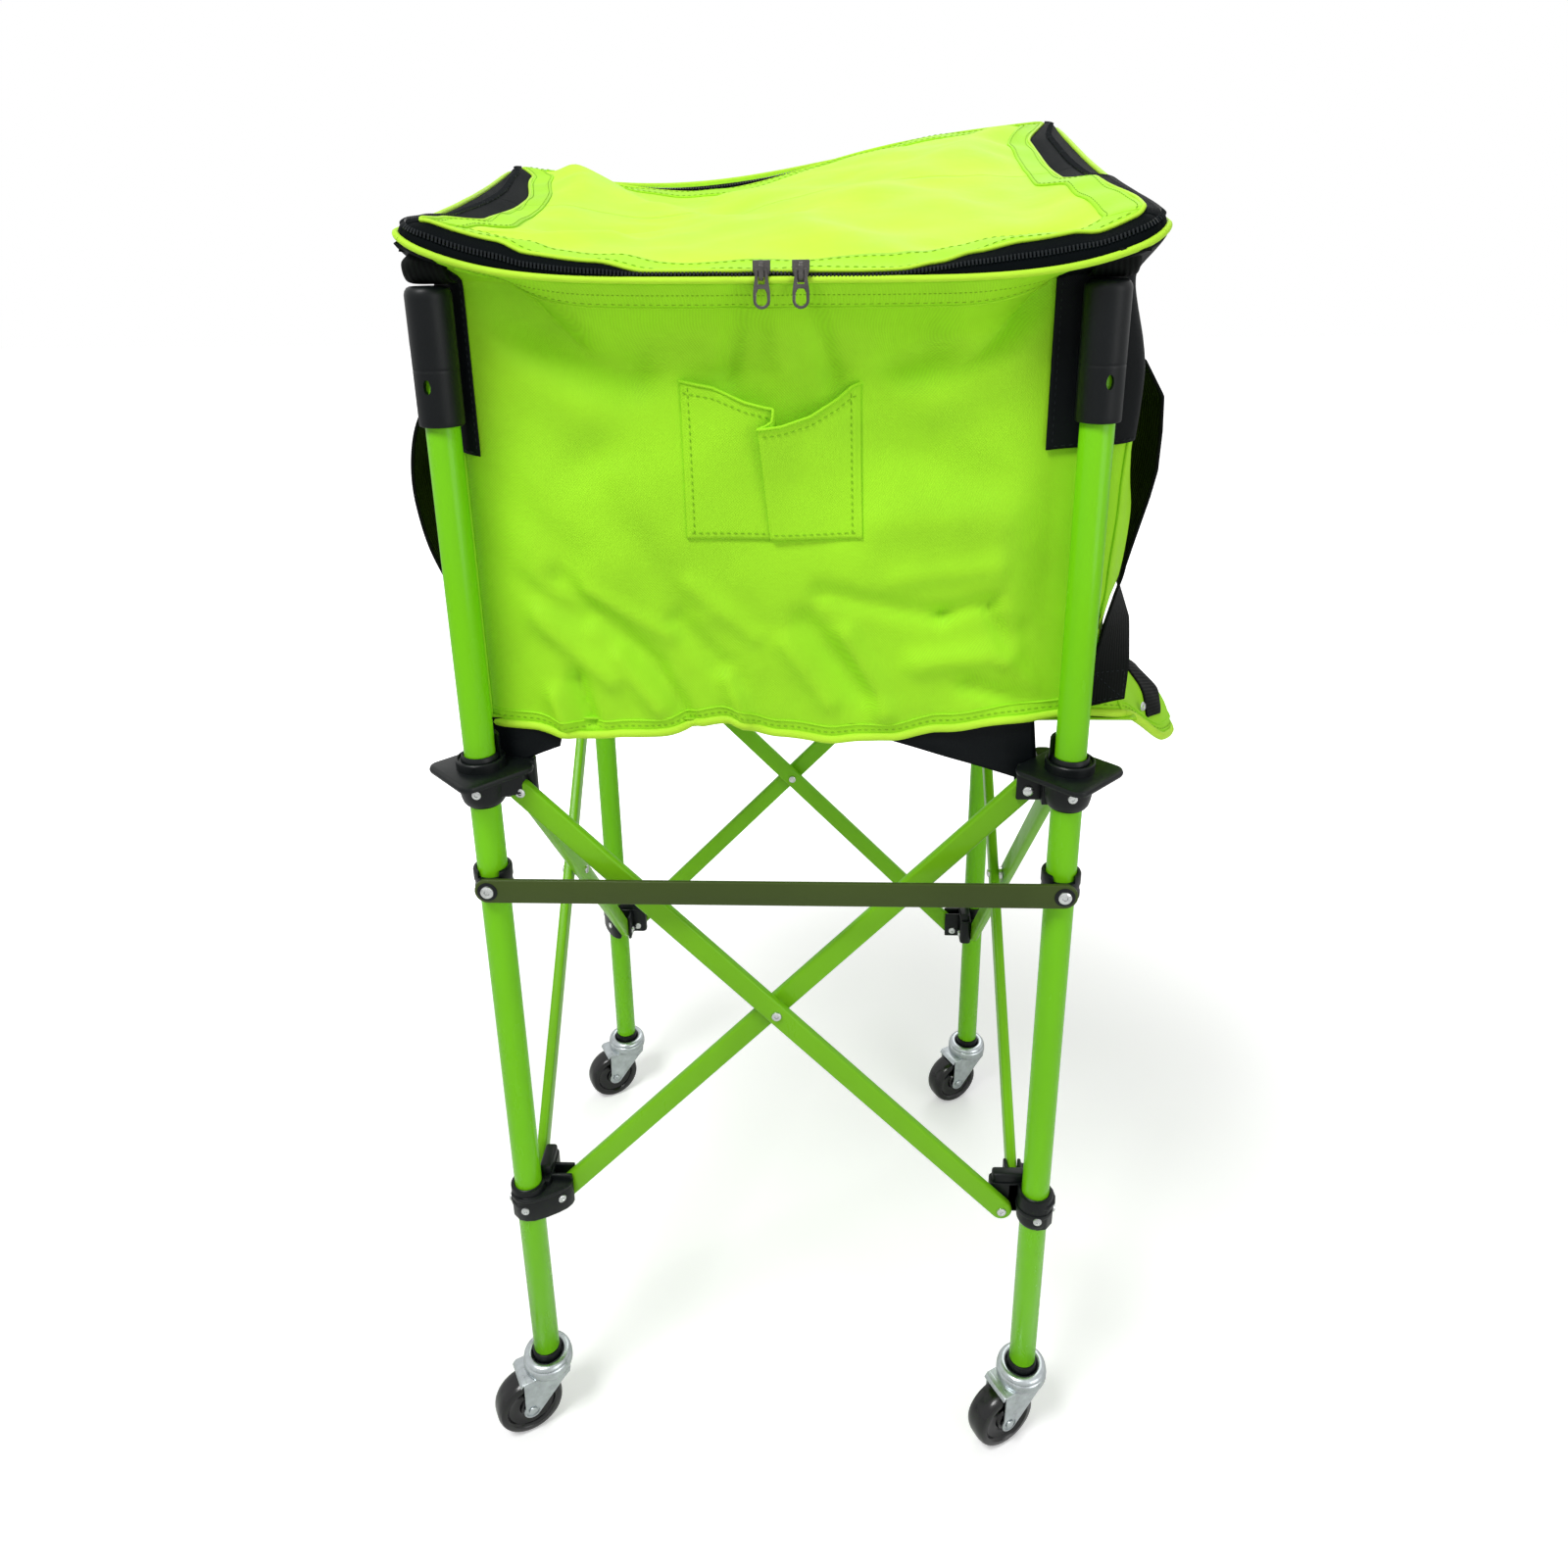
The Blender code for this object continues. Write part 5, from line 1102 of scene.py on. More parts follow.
def build_patches():
    """Black wear patches behind the leg caps, sewn round each corner of the bag."""
    for name, (side, first, last, low_a, low_b) in PATCHES.items():
        ta, tb = t_at(side, first), t_at(side, last)
        starts_outside = abs(first) > abs(last)

        def patch(a, b, lift=0.0):
            t = mix(ta, tb, a)
            top = bag_point(side, t, 1.0).z - 0.0030
            fold = PLEAT_OUT * hump(a, 0, 0.34, 0, PLEAT_WIDE, 1) if abs(tb - ta) < 0.08 else 0.0
            away = smooth((a if starts_outside else 1 - a) / 0.18)
            at = bag_at(side, t, mix(mix(low_a, low_b, a), top, b), mix(0.0012, 0.0026, away) + fold)
            return at + WAY_OUT[side] * lift
        sewn("patch_" + name, grid(44, 46, patch, faces_out(side)), "patch", side, 60, 0.0010)
        inner = mix(1 if starts_outside else 0, 0.5, 0.12)
        edge = [patch(inner, mix(0.03, 0.97, k / 60), 0.0002) for k in range(61)]
        base = [patch(mix(0.06, 0.94, k / 24), 0.018, 0.0002) for k in range(25)]
        rows = joined([stitches(line, lift=WAY_OUT[side]) for line in (edge, base)])
        sewn("patch_stitch_" + name, rows, "dark_thread", side)


# The loop's middle line: how far out from the leg and up from the cap's top
TAB_CURL = metre_rows((8, 16.5), (10.5, 12), (10, 7), (6.6, 3.2), (1, 1.6), (-5, 1.2))


def build_tabs():
    """Black webbing loop that curls from under the rim down behind each leg cap."""
    for corner in CORNERS:
        sign, side = (-1, "front") if corner[0] == "f" else (1, "rear")
        at = LEG[corner] + Vector((0.0020, 0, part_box("leg_cap_" + corner)[1].z))
        line = [bag_at(side, t_at(side, at.x - CENTRE_X), at.z + 0.0180, 0.0022)]
        line += [at + Vector((0, sign * out, up)) for out, up in TAB_CURL]

        def band(a, b):
            spot = b * (len(line) - 1)
            k = min(int(spot), len(line) - 2)
            p0, p1, p2, p3 = line[max(k - 1, 0)], line[k], line[k + 1], line[min(k + 2, len(line) - 1)]
            f = spot - k
            p = 0.5 * (2 * p1 + (p2 - p0) * f + (2 * p0 - 5 * p1 + 4 * p2 - p3) * f * f
                       + (3 * p1 - p0 - 3 * p2 + p3) * f ** 3)
            open_out = smooth(b / 0.4)
            edge = (2 * a - 1) ** 4 * open_out
            shift = 0.0035 * (1 - open_out) if corner[1] == "l" else 0.0
            wide = mix(0.0150, 0.0235, open_out)
            return p + Vector((shift + (a - 0.5) * wide, -sign * 0.0040 * edge, 0.0004 * edge))
        mesh = grid(14, 30, band, sign > 0, (0.0235, 0.030))
        thicken(piece("tab_" + corner, mesh, "web", BODY["leg_cap_" + corner], sharp=60), 0.0012, 0.0)


# Strip on the flared corner: near end and far end, each from its inner to its outer edge as (share, height)
FLAP_STRIP = (((0.075, 0.5750), (0.120, 0.5717)), ((0.165, 0.6050), (0.245, 0.5905)))
GUSSETS = {
    "gusset_right": metre_rows((68, -164, 571.5), (164, -166, 541.5), (160, -164, 585), (70, -163, 581)),
    "gusset_left": metre_rows((-174, -165.5, 548), (-133.5, -165, 565.5), (-131, -163.5, 579), (-176, -163.5, 585)),
}


def build_webs():
    """Black web along the flared hem, and the gussets that hang from the floor to the two front brackets."""
    def strip(a, b):
        (near_t, near_z), (far_t, far_z) = ((mix(p, q, b) for p, q in zip(low, high)) for low, high in FLAP_STRIP)
        return bag_at("right", mix(near_t, far_t, a), mix(near_z, far_z, a), 0.0014)
    sewn("flap_web", grid(44, 12, strip, uv_size=(0.050, 0.012)), "web", "right", 60, 0.0012, 1.0)
    at = bag_at("right", 0.072, 0.5833, 0.0014)
    eyelet = lathe(metres([(1.1, 0), (1.6, 0.7), (2.4, 0.8), (3, 0), (1.1, 0)]), 20)
    place = facing(at + Vector((0.0012, -0.0010, 0)), (0.75, -0.62, 0.2))
    sewn("flap_ring", turned(eyelet, place), "rivet", "right", 32)
    for name, ends in GUSSETS.items():
        low_left, low_right, high_right, high_left = (Vector((x + CENTRE_X, y, z)) for x, y, z in ends)

        def sheet(a, b):
            sag = Vector((0, -0.0030, 0.0016)) * sin(pi * a) * (1 - b)
            plain = low_left.lerp(low_right, a).lerp(high_left.lerp(high_right, a), b)
            return plain + sag + Vector((0, 0.0012 * wave(a * 3, b * 2, 5.5, 1.0), 0))
        sewn(name, grid(30, 14, sheet), "patch", "front", 60, 0.0016, 0.0)


# Zip band and lid

# Rise of the lid's hem over the front rim along x
FRONT_RISE = metre_rows(
    (-190, 11.2), (-168, 14.6), (-136, 14.4), (-122, 10.6), (-86, 8.8), (-60, 4), (70, 3.6), (90, 6.2), (109, 10),
    (134, 13), (158, 13.6), (172, 10.8), (190, 12.2),
)


# Inset and rise of the lid's hem along the short sides
SIDE_BANDS = {
    "left": (((0, 0.012), (0.10, 0.018), (0.20, 0.033), (0.55, 0.034), (0.85, 0.022), (1, 0.008)),
             ((0, 0.0144), (0.15, 0.0130), (0.5, 0.0080), (1, 0.0060))),
    "right": (((0, 0.012), (0.12, 0.010), (0.34, 0.013), (0.42, 0.027), (0.80, 0.026), (1, 0.008)),
              ((0, 0.0144), (0.3, 0.0120), (0.6, 0.0060), (1, 0.0060))),
}


def band_size(side, u, v):
    """(inset, rise) of the lid's hem from the rim."""
    x = mix(RIM["fl"][0], RIM["fr"][0], u)
    if side == "front":
        near = max(1 - smooth((x + 0.195) / 0.110), smooth((x - 0.045) / 0.090))
        return 0.0035 + 0.0085 * near, curve_at(FRONT_RISE, x)
    if side == "rear":
        valley = hump(u, 0, 0.385, 0, 0.20, 1)
        return 0.0080 + 0.0024 * valley, 0.0060 - 0.0110 * valley
    inset, rise = SIDE_BANDS[side]
    return curve_at(inset, v), curve_at(rise, v)


def hem_edge(side, t):
    """Edge of the lid: inset from the rim and raised over it."""
    u, v, ox, oy = outline(side, t)
    inset, rise = band_size(side, u, v)
    if side in LONG_SIDES:
        end, beside = min(u, 1 - u) * LONG_X, "left" if u < 0.5 else "right"
    else:
        end, beside = min(v, 1 - v) * LONG_Y, "front" if v < 0.5 else "rear"
    other_inset, other_rise = band_size(beside, u, v)
    share = 0.5 * (1 - smooth(end / 0.020))
    inset, rise = mix(inset, other_inset, share), mix(rise, other_rise, share)
    return u - ox * inset / LONG_X, v - oy * inset / LONG_Y, rise


# Swells and dips of the lid as (height, u, v, width along u, width along v)
LID_HUMPS = (
    (0.016, 0.13, 0.82, 0.10, 0.24), (0.008, 0.10, 0.45, 0.09, 0.25), (-0.016, 0.36, 0.95, 0.13, 0.20),
    (0.010, 0.66, 0.50, 0.25, 0.35), (0.008, 0.93, 0.80, 0.10, 0.25), (-0.005, 0.80, 0.12, 0.14, 0.10),
)
# The lid's folds, each from (u, v) to (u, v), then its width and height
LID_CREASES = (
    (0.22, 0.95, 0.50, 0.35, 0.055, -0.0060), (0.30, 0.62, 0.62, 0.10, 0.05, 0.0030),
    (0.94, 0.92, 0.62, 0.40, 0.06, 0.0050), (0.60, 0.60, 0.86, 0.30, 0.05, -0.0034),
    (0.06, 0.10, 0.26, 0.24, 0.030, 0.0050), (0.72, 0.10, 0.95, 0.14, 0.030, -0.0040),
    (0.08, 0.22, 0.30, 0.40, 0.030, -0.0036),
)


def lid_shape(u, v):
    """Height of the slack lid over the rim's own surface."""
    z = 0.0075 + sum(high * hump(u, v, *spot) for high, *spot in LID_HUMPS)
    z += sum(crease(u, v, *line) for line in LID_CREASES)
    return z + 0.0045 * wave(u, 2.2, v, 5.0) + 0.0018 * wave(u, 5.2, v, 14.0)


def lid_point(a, b, lift=0.0):
    """Point on the lid; a runs left to right and b front to rear, each from 0 to 1."""
    px, py = 2 * a - 1, 2 * b - 1
    reach = max(abs(px), abs(py))
    if reach < 1e-6:
        u, v, rise = 0.5, 0.5, 0.0
    else:
        qx, qy = px / reach, py / reach
        if abs(qy) >= abs(qx):
            side, t = ("front" if qy < 0 else "rear"), (qx + 1) / 2
        else:
            side, t = ("left" if qx < 0 else "right"), (qy + 1) / 2
        edge_u, edge_v, rise = hem_edge(side, t)
        u, v = mix(0.5, edge_u, reach), mix(0.5, edge_v, reach)
    place = rim_point(u, v)
    edge = smooth((reach - 0.72) / 0.28)
    ripple = 0.0022 * wave(u * 2, v * 2, 9.0, 6.0) * smooth((reach - 0.6) / 0.3)
    inner = lid_shape(u, v)
    place.z += mix(inner, rise, edge) + ripple * (1 - smooth((reach - 0.985) / 0.015)) + lift
    return place


CREASE_B = 0.5


def build_lid():
    for half, first in (("front", 0.0), ("rear", CREASE_B)):
        mesh = grid(120, 60, lambda a, b: lid_point(a, first + 0.5 * b))
        sewn("lid_cloth_" + half, mesh, "lid", "lid_" + half, 60, 0.0011, replaces=True)
    build_lid_hem()


def lid_ring(side, t, depth, lift):
    """Point on the lid at a share of the way in from its edge."""
    s = 2 * t - 1
    a, b = {"front": (s, -1), "rear": (s, 1), "left": (-1, s), "right": (1, s)}[side]
    m = 1 - depth
    return lid_point((a * m + 1) / 2, (b * m + 1) / 2, lift)


# (name, side, first, last, half): the parts of the lid's edge on each half
LID_SIDES = (
    ("front", "front", 0.0, 1.0, "lid_front"), ("left_a", "left", 0.0, 0.5, "lid_front"),
    ("right_a", "right", 0.0, 0.5, "lid_front"), ("rear", "rear", 0.0, 1.0, "lid_rear"),
    ("left_b", "left", 0.5, 1.0, "lid_rear"), ("right_b", "right", 0.5, 1.0, "lid_rear"),
)


def build_lid_hem():
    """Double hem round the lid with its two rows of stitches and a rolled edge."""
    for name, side, first, last, half in LID_SIDES:
        wide = 0.105 if side in LONG_SIDES else 0.092

        def line(depth, lift):
            return [lid_ring(side, mix(first, last, k / 100), depth, lift) for k in range(101)]
        mesh = grid(90, 8, lambda a, b: lid_ring(side, mix(first, last, a), wide * b, 0.0011), faces_out(side))
        sewn("lid_hem_" + name, mesh, "lid_hem", half, 60, 0.0011)
        sewn("lid_edge_" + name, tube(line(0.0, 0.0004), 0.0012), "piping", half)
        for row, depth in (("in", wide * 0.88), ("out", wide * 0.16)):
            rows = stitches(line(depth, 0.0013), 0.0046, 0.0030, Vector((0, 0, 1)))
            sewn("lid_stitch_" + row + "_" + name, rows, "thread", half)


def zip_point(side, t, w, lift=0.0):
    """Point across the zip tape: w is 0 at the rim and 1 at the lid's hem."""
    _, _, ox, oy = outline(side, t)
    low = bag_point(side, t, 1.0, 0.0002)
    high = lid_ring(side, t, 0.0, -0.0006)
    if side == "rear":
        low += Vector((0, -0.0016, -0.0016))
    span = (high - low).length
    arch = min(0.0008 if side == "rear" else 0.0042, 0.0012 + 0.22 * span) * 4 * w * (1 - w)
    out = Vector((ox, oy, 0))
    up = Vector((0, 0, 1))
    tall = min(max((high.z - low.z) / max(span, 1e-6), 0.0), 1.0)
    away = (out * tall + up * (1 - tall)).normalized()
    return low.lerp(high, w) + away * (arch + lift)


def build_zip():
    """Black tape in two halves, with a coil of teeth on each, all round the rim."""
    def tape(side, first, last, low, high):
        return lambda a, b: zip_point(side, mix(first, last, a), mix(low, high, b))
    for side in SIDES:
        mesh = grid(120, 8, tape(side, 0.0, 1.0, -0.02, 0.47), faces_out(side))
        sewn("zip_tape_low_" + side, mesh, "tape", side, 60, 0.0008)
        sewn("zip_teeth_low_" + side, teeth(side, 0.0, 1.0, 0.468), "teeth", side, 50)
    for name, side, first, last, half in LID_SIDES:
        mesh = grid(100, 8, tape(side, first, last, 0.53, 1.02), faces_out(side))
        sewn("zip_tape_top_" + name, mesh, "tape", half, 60, 0.0008)
        sewn("zip_teeth_top_" + name, teeth(side, first, last, 0.532), "teeth", half, 50)


def teeth(side, first, last, w, pitch=0.0019):
    """A row of small coil teeth along the tape's middle."""
    length = (LONG_X if side in LONG_SIDES else LONG_Y) * (last - first)
    count = int(length / pitch)
    bm = bmesh.new()
    for k in range(count):
        t = mix(first, last, (k + 0.5) / count)
        at = zip_point(side, t, w, 0.0004)
        ahead = (zip_point(side, min(t + 0.004, 1), w) - at).normalized()
        cross = (zip_point(side, t, w + 0.05) - zip_point(side, t, w - 0.05)).normalized()
        rise = ahead.cross(cross).normalized()
        made = bmesh.ops.create_cube(bm, size=1.0)["verts"]
        turn = Matrix((ahead, cross, rise)).transposed().to_4x4()
        size = Matrix.Diagonal((0.0010, 0.0022, 0.0012, 1))
        bmesh.ops.transform(bm, matrix=Matrix.Translation(at) @ turn @ size, verts=made)
    return to_mesh(bm)


# Pocket, straps, floor and zip pulls

# Share of its width in thousandths, then x, how far it stands out and the height of its open top
POCKET_PATH = metre_rows(
    (0, -48.4, 1.6, 790), (180, -30, 2.2, 786.8), (340, -12, 2.8, 779), (425, -1, 3, 776.2),
    (462, 3.4, 3, 775.5), (470, 3.8, 3.6, 775.2), (480, 3.4, 4.4, 769), (520, -0.6, 4.8, 766.2),
    (545, -4.6, 5.2, 765), (553, -5.2, 6.2, 764.8), (562, -4.6, 7.4, 764.8), (640, 8, 6.6, 766.2),
    (760, 24, 4.8, 771), (880, 38.5, 3, 779.5), (960, 47, 1.8, 786.2), (1000, 52, 1.6, 788),
)
POCKET_LOW, POCKET_LEAN = 0.7010, 0.0045


def pocket_point(a, b, lift=0.0):
    """Front pocket sewn as one sheet with a standing pleat; b runs from the bottom to the open top."""
    keys = [row[0] for row in POCKET_PATH]
    k = max(i for i in range(len(keys) - 1) if a >= keys[i] - 1e-9)
    share = min((a - keys[k]) / (keys[k + 1] - keys[k]), 1.0)
    x, out, top = (mix(p, q, share) for p, q in zip(POCKET_PATH[k][1:], POCKET_PATH[k + 1][1:]))
    x += POCKET_LEAN * (1 - b) * smooth((0.4 - abs(a - 0.5)) / 0.2) + 0.0014 * (1 - b)
    z = mix(POCKET_LOW, top, b)
    flat = mix(0.0010, 1.0, smooth(b / 0.9))
    gape = 0.0085 * sin(pi * a) ** 0.8 * b ** 1.6
    edge = 0.0006 if min(a, 1 - a) < 0.02 or b < 0.02 else 0.0
    return bag_at("front", t_at("front", x), z, mix(0.0016, out, 0.35 + 0.65 * flat) + gape - edge + lift)


def build_pocket():
    sewn("pocket_cloth", grid(120, 40, pocket_point), "cloth", "pocket", 60, 0.0010, replaces=True)
    sewn("pocket_lip", tube([pocket_point(k / 120, 1.0, 0.0003) for k in range(121)], 0.0009, 8), "cloth", "pocket")
    # Each row of stitches from one (a, b) on the pocket to another
    spans = (
        (0.01, 0.93, 0.455, 0.93), (0.57, 0.93, 0.985, 0.93), (0.045, 0.03, 0.045, 0.97), (0.955, 0.03, 0.955, 0.97),
        (0.02, 0.045, 0.455, 0.045), (0.57, 0.045, 0.98, 0.045),
    )
    rows = []
    for a0, b0, a1, b1 in spans:
        line = [pocket_point(mix(a0, a1, k / 40), mix(b0, b1, k / 40), 0.0004) for k in range(41)]
        rows.append(stitches(line, 0.0040, 0.0027))
    sewn("pocket_stitch", joined(rows), "thread", "pocket")


# Right handle: share of its run in thousandths, then x, y and z of its near and its far edge in the bag
HANDLE = metre_rows(
    (0, 201.2, -130, 810, 201.2, -94, 806), (80, 203, -130, 801, 203, -94, 796),
    (160, 215.5, -130, 794, 210, -94, 789.5), (260, 227.5, -130, 773.9, 219.2, -94, 769.1),
    (360, 228.5, -130, 754, 221.1, -94, 748.2), (470, 228.1, -130, 730.8, 220.3, -94, 723.7),
    (550, 225, -130, 714.9, 219.9, -94, 706.9), (680, 217.3, -130, 684, 214.6, -96, 674.3),
    (760, 211.3, -134, 664.8, 218, -102, 654), (840, 197.5, -160, 645, 220, -128, 638),
    (920, 191, -170, 626, 215, -156, 622), (1000, 189.1, -171.2, 596.5, 211.1, -171.2, 601),
)
LEFT_HANDLE_TOP, LEFT_HANDLE_LOW, LEFT_HANDLE_OUT = 0.795, 0.600, 0.030


def handle_point(side, a, b):
    """Point on a webbing handle: a from its near edge to its far one, b from the top end down."""
    if side == "left":
        y = mix(-0.130, -0.094, a)
        z = mix(LEFT_HANDLE_TOP, LEFT_HANDLE_LOW, b)
        wall = bag_at("left", t_at("left", y), z, 0.0014).x
        out = LEFT_HANDLE_OUT * sin(pi * min(max((b - 0.06) / 0.86, 0.0), 1.0) ** 0.52)
        return Vector((wall - max(out, 0.0) * (1 - 0.12 * a), y, z - 0.006 * a))
    low, high = next((p, q) for p, q in zip(HANDLE, HANDLE[1:]) if b <= q[0] + 1e-9)
    share = (b - low[0]) / (high[0] - low[0])
    share = 0.5 * share + 0.5 * smooth(share)
    near, far = (Vector(low[k:k + 3]).lerp(Vector(high[k:k + 3]), share) for k in (1, 4))
    at = near.lerp(far, a)
    if b < 0.8:
        at.x = max(at.x, bag_at("right", t_at("right", at.y), at.z, 0.0014).x - CENTRE_X)
    return at + Vector((CENTRE_X, 0, 0))


def build_straps():
    for side in ("right", "left"):
        home = "strap_" + side
        mesh = grid(14, 80, lambda a, b: handle_point(side, a, b), side == "right", (0.038, 0.235))
        sewn("handle_" + side, mesh, "web", home, 60, 0.0018, 1.0, replaces=True)
        rows = []
        for low, high in ((0.012, 0.078), (0.945, 0.988)):
            box = [(0.08, low), (0.92, low), (0.92, high), (0.08, high), (0.08, low), (0.92, high)]
            way = WAY_OUT["front"] if side == "right" and low > 0.5 else WAY_OUT[side]
            line = []
            for (a0, b0), (a1, b1) in zip(box, box[1:]):
                line += [handle_point(side, mix(a0, a1, k / 8), mix(b0, b1, k / 8)) + way * 0.0021 for k in range(9)]
            rows.append(stitches(line, 0.0036, 0.0024, way))
        sewn("handle_stitch_" + side, joined(rows), "dark_thread", home)


def floor_point(half, a, b):
    """Sagging floor cloth, sewn in along the walls."""
    v = mix(0.004, 0.5, b) if half == "front" else mix(0.5, 0.996, b)
    y = mix(BAG_FRONT, BAG_REAR, v) + (0.001 if half == "front" and v < 0.01 else 0)
    wall_y = min(max(y, BAG_FRONT + 0.017), BAG_REAR - 0.017)
    left, right = (bag_at(side, t_at(side, wall_y), 0.586, -0.001).x for side in ("left", "right"))
    x = mix(left, right, a)
    edge = min(a, 1 - a, v, 1 - v)
    sag = 0.0075 * smooth(edge / 0.12) + 0.010 * hump(a, v, 0.62, 0.10, 0.22, 0.10)
    z = 0.5845 - sag + 0.0022 * wave(x * 8, y * 8, 1.4, 1.0)
    return Vector((x, y, z))


def build_floor():
    for half in ("front", "rear"):
        mesh = grid(90, 50, lambda a, b: floor_point(half, a, b), True)
        sewn("floor_cloth_" + half, mesh, "floor", "floor_" + half, 60, 0.0014, replaces=True)


def build_pulls():
    """The frame's own sliders and pulls, welded and softly bevelled."""
    for name, edge in (("zip_slider_", 0.0004), ("zip_pull_", 0.0003)):
        for word in ("left", "right"):
            item = frame["nodes"][name + word]
            item.data.materials.clear()
            item.data.materials.append(MAT["dark_metal"])
            item.modifiers.new("weld", "WELD").merge_threshold = 0.00001
            soft = item.modifiers.new("soft_edges", "BEVEL")
            soft.width, soft.segments, soft.limit_method, soft.angle_limit = edge, 2, "ANGLE", radians(30)


# Stage

PHOTO_FOCAL = 1153 / 1600 * 36
CAMERA_PLACE = (0.0155, -0.803, 0.866)
CAMERA_PITCH, CAMERA_YAW, CAMERA_ROLL = 19.70, -2.38, -0.74
CAMERA_SHIFT = -0.0931
FLOOR_NEAR, FLOOR_FAR, FLOOR_GLOW = 0.35, 1.1, 0.30


def floor_material():
    """Pale floor that keeps the shadow near the cart and runs out to plain white for the camera."""
    mat, tree, shader, place = start_material("studio_floor", (0.92, 0.92, 0.92), 0.9)
    for name, value in (("Base Color", (0.92, 0.92, 0.92, 1)), ("Specular IOR Level", 0.0),
                        ("Emission Color", (1, 1, 1, 1))):
        shader.inputs[name].default_value = value
    reach = node(tree, "ShaderNodeVectorMath", operation="LENGTH")
    tree.links.new(place, reach.inputs[0])
    far = node(tree, "ShaderNodeMapRange", interpolation_type="SMOOTHSTEP")
    for name, value in (("From Min", FLOOR_NEAR), ("From Max", FLOOR_FAR), ("To Min", FLOOR_GLOW)):
        far.inputs[name].default_value = value
    tree.links.new(reach.outputs["Value"], far.inputs["Value"])
    seen = node(tree, "ShaderNodeLightPath").outputs["Is Camera Ray"]
    tree.links.new(maths(tree, "MULTIPLY", far.outputs["Result"], seen), shader.inputs["Emission Strength"])
    return mat


def build_world(strength):
    """Even white light; the camera, a gloss or a clear surface sees plain white."""
    world = bpy.data.worlds.new("studio")
    bpy.context.scene.world = world
    world.use_nodes = True
    tree = world.node_tree
    soft = tree.nodes["Background"]
    soft.inputs["Color"].default_value = (1, 1, 1, 1)
    soft.inputs["Strength"].default_value = strength
    path = node(tree, "ShaderNodeLightPath")
    seen = maths(tree, "MAXIMUM", path.outputs["Is Camera Ray"], path.outputs["Is Glossy Ray"])
    seen = maths(tree, "MAXIMUM", seen, path.outputs["Is Transmission Ray"])
    white = node(tree, "ShaderNodeBackground")
    white.inputs["Color"].default_value = (1, 1, 1, 1)
    blend = node(tree, "ShaderNodeMixShader")
    tree.links.new(seen, blend.inputs["Fac"])
    tree.links.new(soft.outputs["Background"], blend.inputs[1])
    tree.links.new(white.outputs["Background"], blend.inputs[2])
    tree.links.new(blend.outputs["Shader"], tree.nodes["World Output"].inputs["Surface"])


def add_aimed(name, data, place, turn):
    item = bpy.data.objects.new(name, data)
    bpy.context.scene.collection.objects.link(item)
    item.location = place
    item.rotation_mode = "QUATERNION"
    item.rotation_quaternion = turn
    return item


def area_lamp(name, place, aim, size, power):
    data = bpy.data.lights.new(name, "AREA")
    data.shape, data.size, data.energy = "DISK", size, power
    add_aimed(name, data, place, (Vector(aim) - Vector(place)).to_track_quat("-Z", "Y"))


def build_stage(look):
    """White world, floor, three soft lamps and the photograph's camera."""
    scene = bpy.context.scene
    scene.view_settings.view_transform = "Standard"
    build_world(look.room_light)
    bm = bmesh.new()
    bmesh.ops.create_grid(bm, x_segments=2, y_segments=2, size=9.0)
    bmesh.ops.translate(bm, vec=(0, 0, -0.0002), verts=bm.verts)
    ground = bpy.data.objects.new("studio_floor", to_mesh(bm, "studio_floor"))
    scene.collection.objects.link(ground)
    ground.data.materials.append(floor_material())
    area_lamp("key_lamp", (-0.9, -1.2, 2.6), (0, 0, 0.6), 0.9, look.key_light)
    area_lamp("fill_lamp", (1.7, -1.6, 1.1), (0, 0, 0.55), 1.4, look.fill_light)
    area_lamp("back_lamp", (0.6, 1.9, 2.2), (0, 0, 0.6), 1.6, look.fill_light)
    data = bpy.data.cameras.new("photo_camera")
    data.sensor_width, data.lens, data.shift_y = 36, PHOTO_FOCAL, CAMERA_SHIFT
    data.clip_start, data.clip_end = 0.01, 100
    turn = Matrix.Rotation(radians(-CAMERA_YAW), 4, "Z") @ Matrix.Rotation(radians(90 - CAMERA_PITCH), 4, "X")
    turn = (turn @ Matrix.Rotation(radians(CAMERA_ROLL), 4, "Z")).to_quaternion()
    scene.camera = add_aimed("photo_camera", data, CAMERA_PLACE, turn)


# Add-on

def colour_prop(name, description, default):
    return bpy.props.FloatVectorProperty(
        name=name, description=description, default=default, subtype="COLOR", size=3, min=0.0, max=1.0
    )


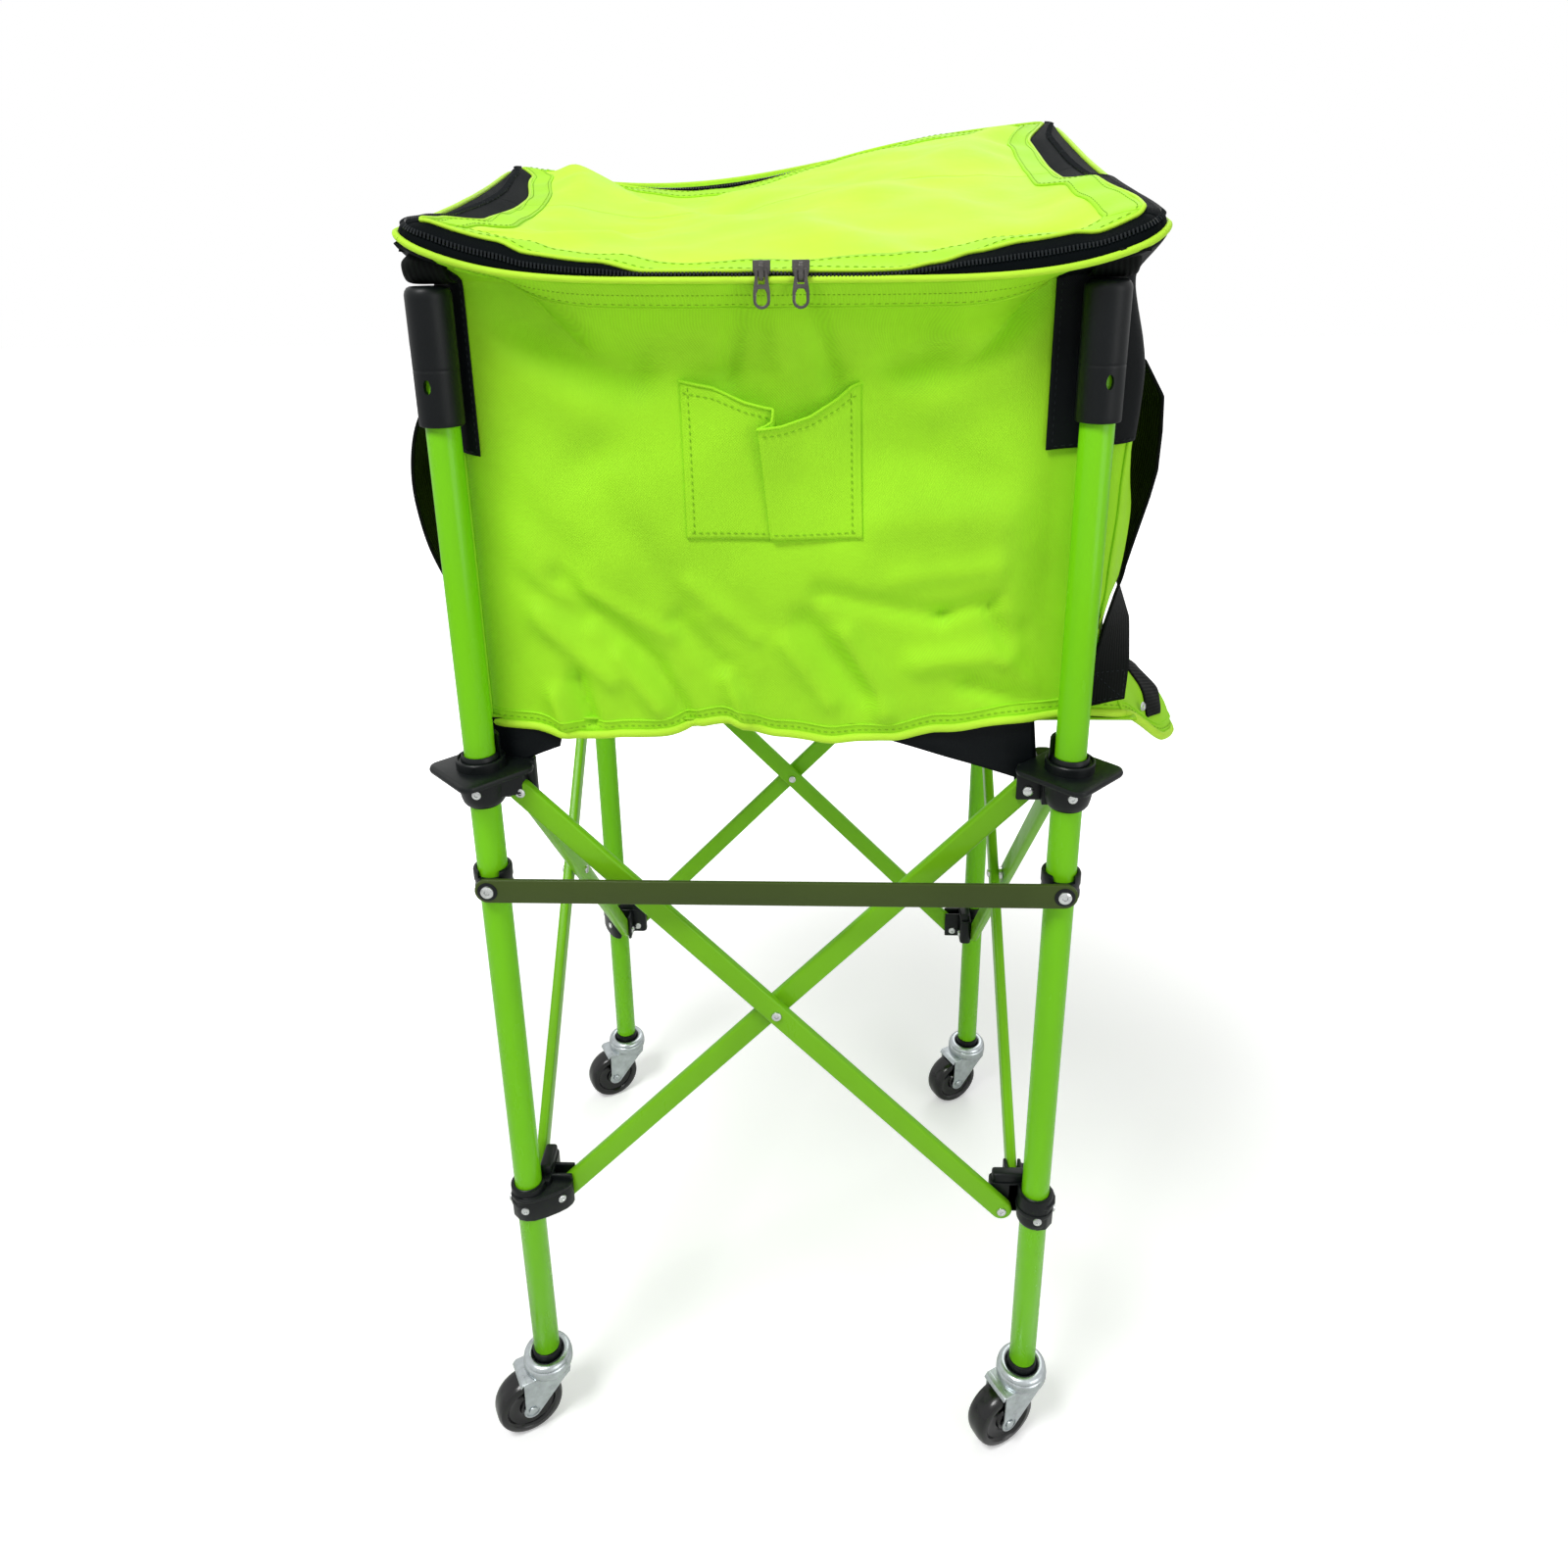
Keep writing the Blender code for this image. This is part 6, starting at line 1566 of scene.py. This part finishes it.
class CartFinish(bpy.types.PropertyGroup):
    """Colours and light that a user would change."""

    cloth_colour: colour_prop("Bag cloth", "Colour of the bag's walls", (0.37, 0.80, 0.018))
    # Paler than the bag cloth, as painted light on the lid's upward face.
    lid_colour_with_painted_light: colour_prop("Lid cloth", "Colour of the zipped lid", (0.60, 0.95, 0.060))
    hem_colour: colour_prop("Lid hem", "Colour of the doubled hem round the lid", (0.44, 0.86, 0.030))
    piping_colour: colour_prop("Piping", "Colour of the bound edges", (0.52, 0.88, 0.040))
    leg_colour: colour_prop("Leg paint", "Colour of the four legs", (0.175, 0.56, 0.006))
    arm_colour: colour_prop("Arm paint", "Colour of the crossed arms", (0.175, 0.47, 0.009))
    bar_colour: colour_prop("Lock bar paint", "Colour of the bar across the front", (0.048, 0.074, 0.014))
    bracket_colour: colour_prop("Bracket plastic", "Colour of brackets and clamps", (0.0045, 0.0065, 0.0068))
    cap_colour: colour_prop("Black trim", "Colour of caps, patches and zip tape", (0.0022, 0.0036, 0.0044))
    wheel_colour: colour_prop("Wheel plastic", "Colour of the wheels", (0.0022, 0.0026, 0.0030))
    zinc_colour: colour_prop("Zinc plate", "Colour of the caster forks", (0.46, 0.50, 0.51))
    strap_colour: colour_prop("Strap webbing", "Colour of the carry handles", (0.0016, 0.0026, 0.0020))
    key_light: bpy.props.FloatProperty(
        name="Key light", description="Power of the main lamp", default=40.0, min=0.0, unit="POWER"
    )
    fill_light: bpy.props.FloatProperty(
        name="Fill light", description="Power of each softer lamp", default=12.0, min=0.0, unit="POWER"
    )
    room_light: bpy.props.FloatProperty(
        name="Room light", description="Strength of the even light all round", default=0.40, min=0.0, max=2.0
    )


class BuildOperator:
    """Shared settings of the build operators"""

    bl_options = {"REGISTER", "UNDO"}

    def execute(self, context):
        self.build(context.scene.cart_finish)
        return {"FINISHED"}


class CART_OT_materials(BuildOperator, bpy.types.Operator):
    """Make the paint, plastic, metal and cloth finishes"""

    bl_idname = "cart.materials"
    bl_label = "Materials"

    def build(self, look):
        make_materials(look)


class CART_OT_legs(BuildOperator, bpy.types.Operator):
    """Make the four leg tubes and their caps"""

    bl_idname = "cart.legs"
    bl_label = "Legs and Caps"

    def build(self, look):
        build_legs()


class CART_OT_brackets(BuildOperator, bpy.types.Operator):
    """Make the head and sliding brackets"""

    bl_idname = "cart.brackets"
    bl_label = "Brackets"

    def build(self, look):
        build_brackets()


class CART_OT_arms(BuildOperator, bpy.types.Operator):
    """Make the crossed arms, their rivets and the lock bar"""

    bl_idname = "cart.arms"
    bl_label = "Arms and Lock Bar"

    def build(self, look):
        build_arms()
        build_lock_bar()


class CART_OT_casters(BuildOperator, bpy.types.Operator):
    """Make the four swivel casters"""

    bl_idname = "cart.casters"
    bl_label = "Casters"

    def build(self, look):
        build_casters()


class CART_OT_bag(BuildOperator, bpy.types.Operator):
    """Make the bag's walls, hems, patches, pocket and floor"""

    bl_idname = "cart.bag"
    bl_label = "Bag"

    def build(self, look):
        build_walls()
        build_tabs()
        build_pocket()
        build_floor()


class CART_OT_lid(BuildOperator, bpy.types.Operator):
    """Make the slack lid and the zip round it"""

    bl_idname = "cart.lid"
    bl_label = "Lid and Zip"

    def build(self, look):
        build_lid()
        build_zip()
        build_pulls()


class CART_OT_handles(BuildOperator, bpy.types.Operator):
    """Make the webbing handles"""

    bl_idname = "cart.handles"
    bl_label = "Handles"

    def build(self, look):
        build_straps()


class CART_OT_stage(BuildOperator, bpy.types.Operator):
    """Make the floor, the lamps and the camera"""

    bl_idname = "cart.stage"
    bl_label = "Stage"

    def build(self, look):
        build_stage(look)


class CART_PT_panel(bpy.types.Panel):
    """Settings and build steps of the ball cart"""

    bl_idname = "CART_PT_panel"
    bl_label = "Ball Cart"
    bl_space_type = "VIEW_3D"
    bl_region_type = "UI"
    bl_category = "Ball Cart"

    def draw(self, context):
        for name in CartFinish.__annotations__:
            self.layout.prop(context.scene.cart_finish, name)
        for step in STEPS:
            self.layout.operator(step.bl_idname)


STEPS = (
    CART_OT_materials, CART_OT_legs, CART_OT_brackets, CART_OT_arms, CART_OT_casters, CART_OT_bag, CART_OT_lid,
    CART_OT_handles, CART_OT_stage,
)
CLASSES = (CartFinish, *STEPS, CART_PT_panel)


def register():
    for cls in CLASSES:
        bpy.utils.register_class(cls)
    bpy.types.Scene.cart_finish = bpy.props.PointerProperty(type=CartFinish)


def unregister():
    del bpy.types.Scene.cart_finish
    for cls in reversed(CLASSES):
        bpy.utils.unregister_class(cls)


def main():
    register()
    bpy.ops.cart.materials()
    bpy.ops.cart.legs()
    bpy.ops.cart.brackets()
    bpy.ops.cart.arms()
    bpy.ops.cart.casters()
    bpy.ops.cart.bag()
    bpy.ops.cart.lid()
    bpy.ops.cart.handles()
    bpy.ops.cart.stage()


if __name__ == "__main__":
    main()
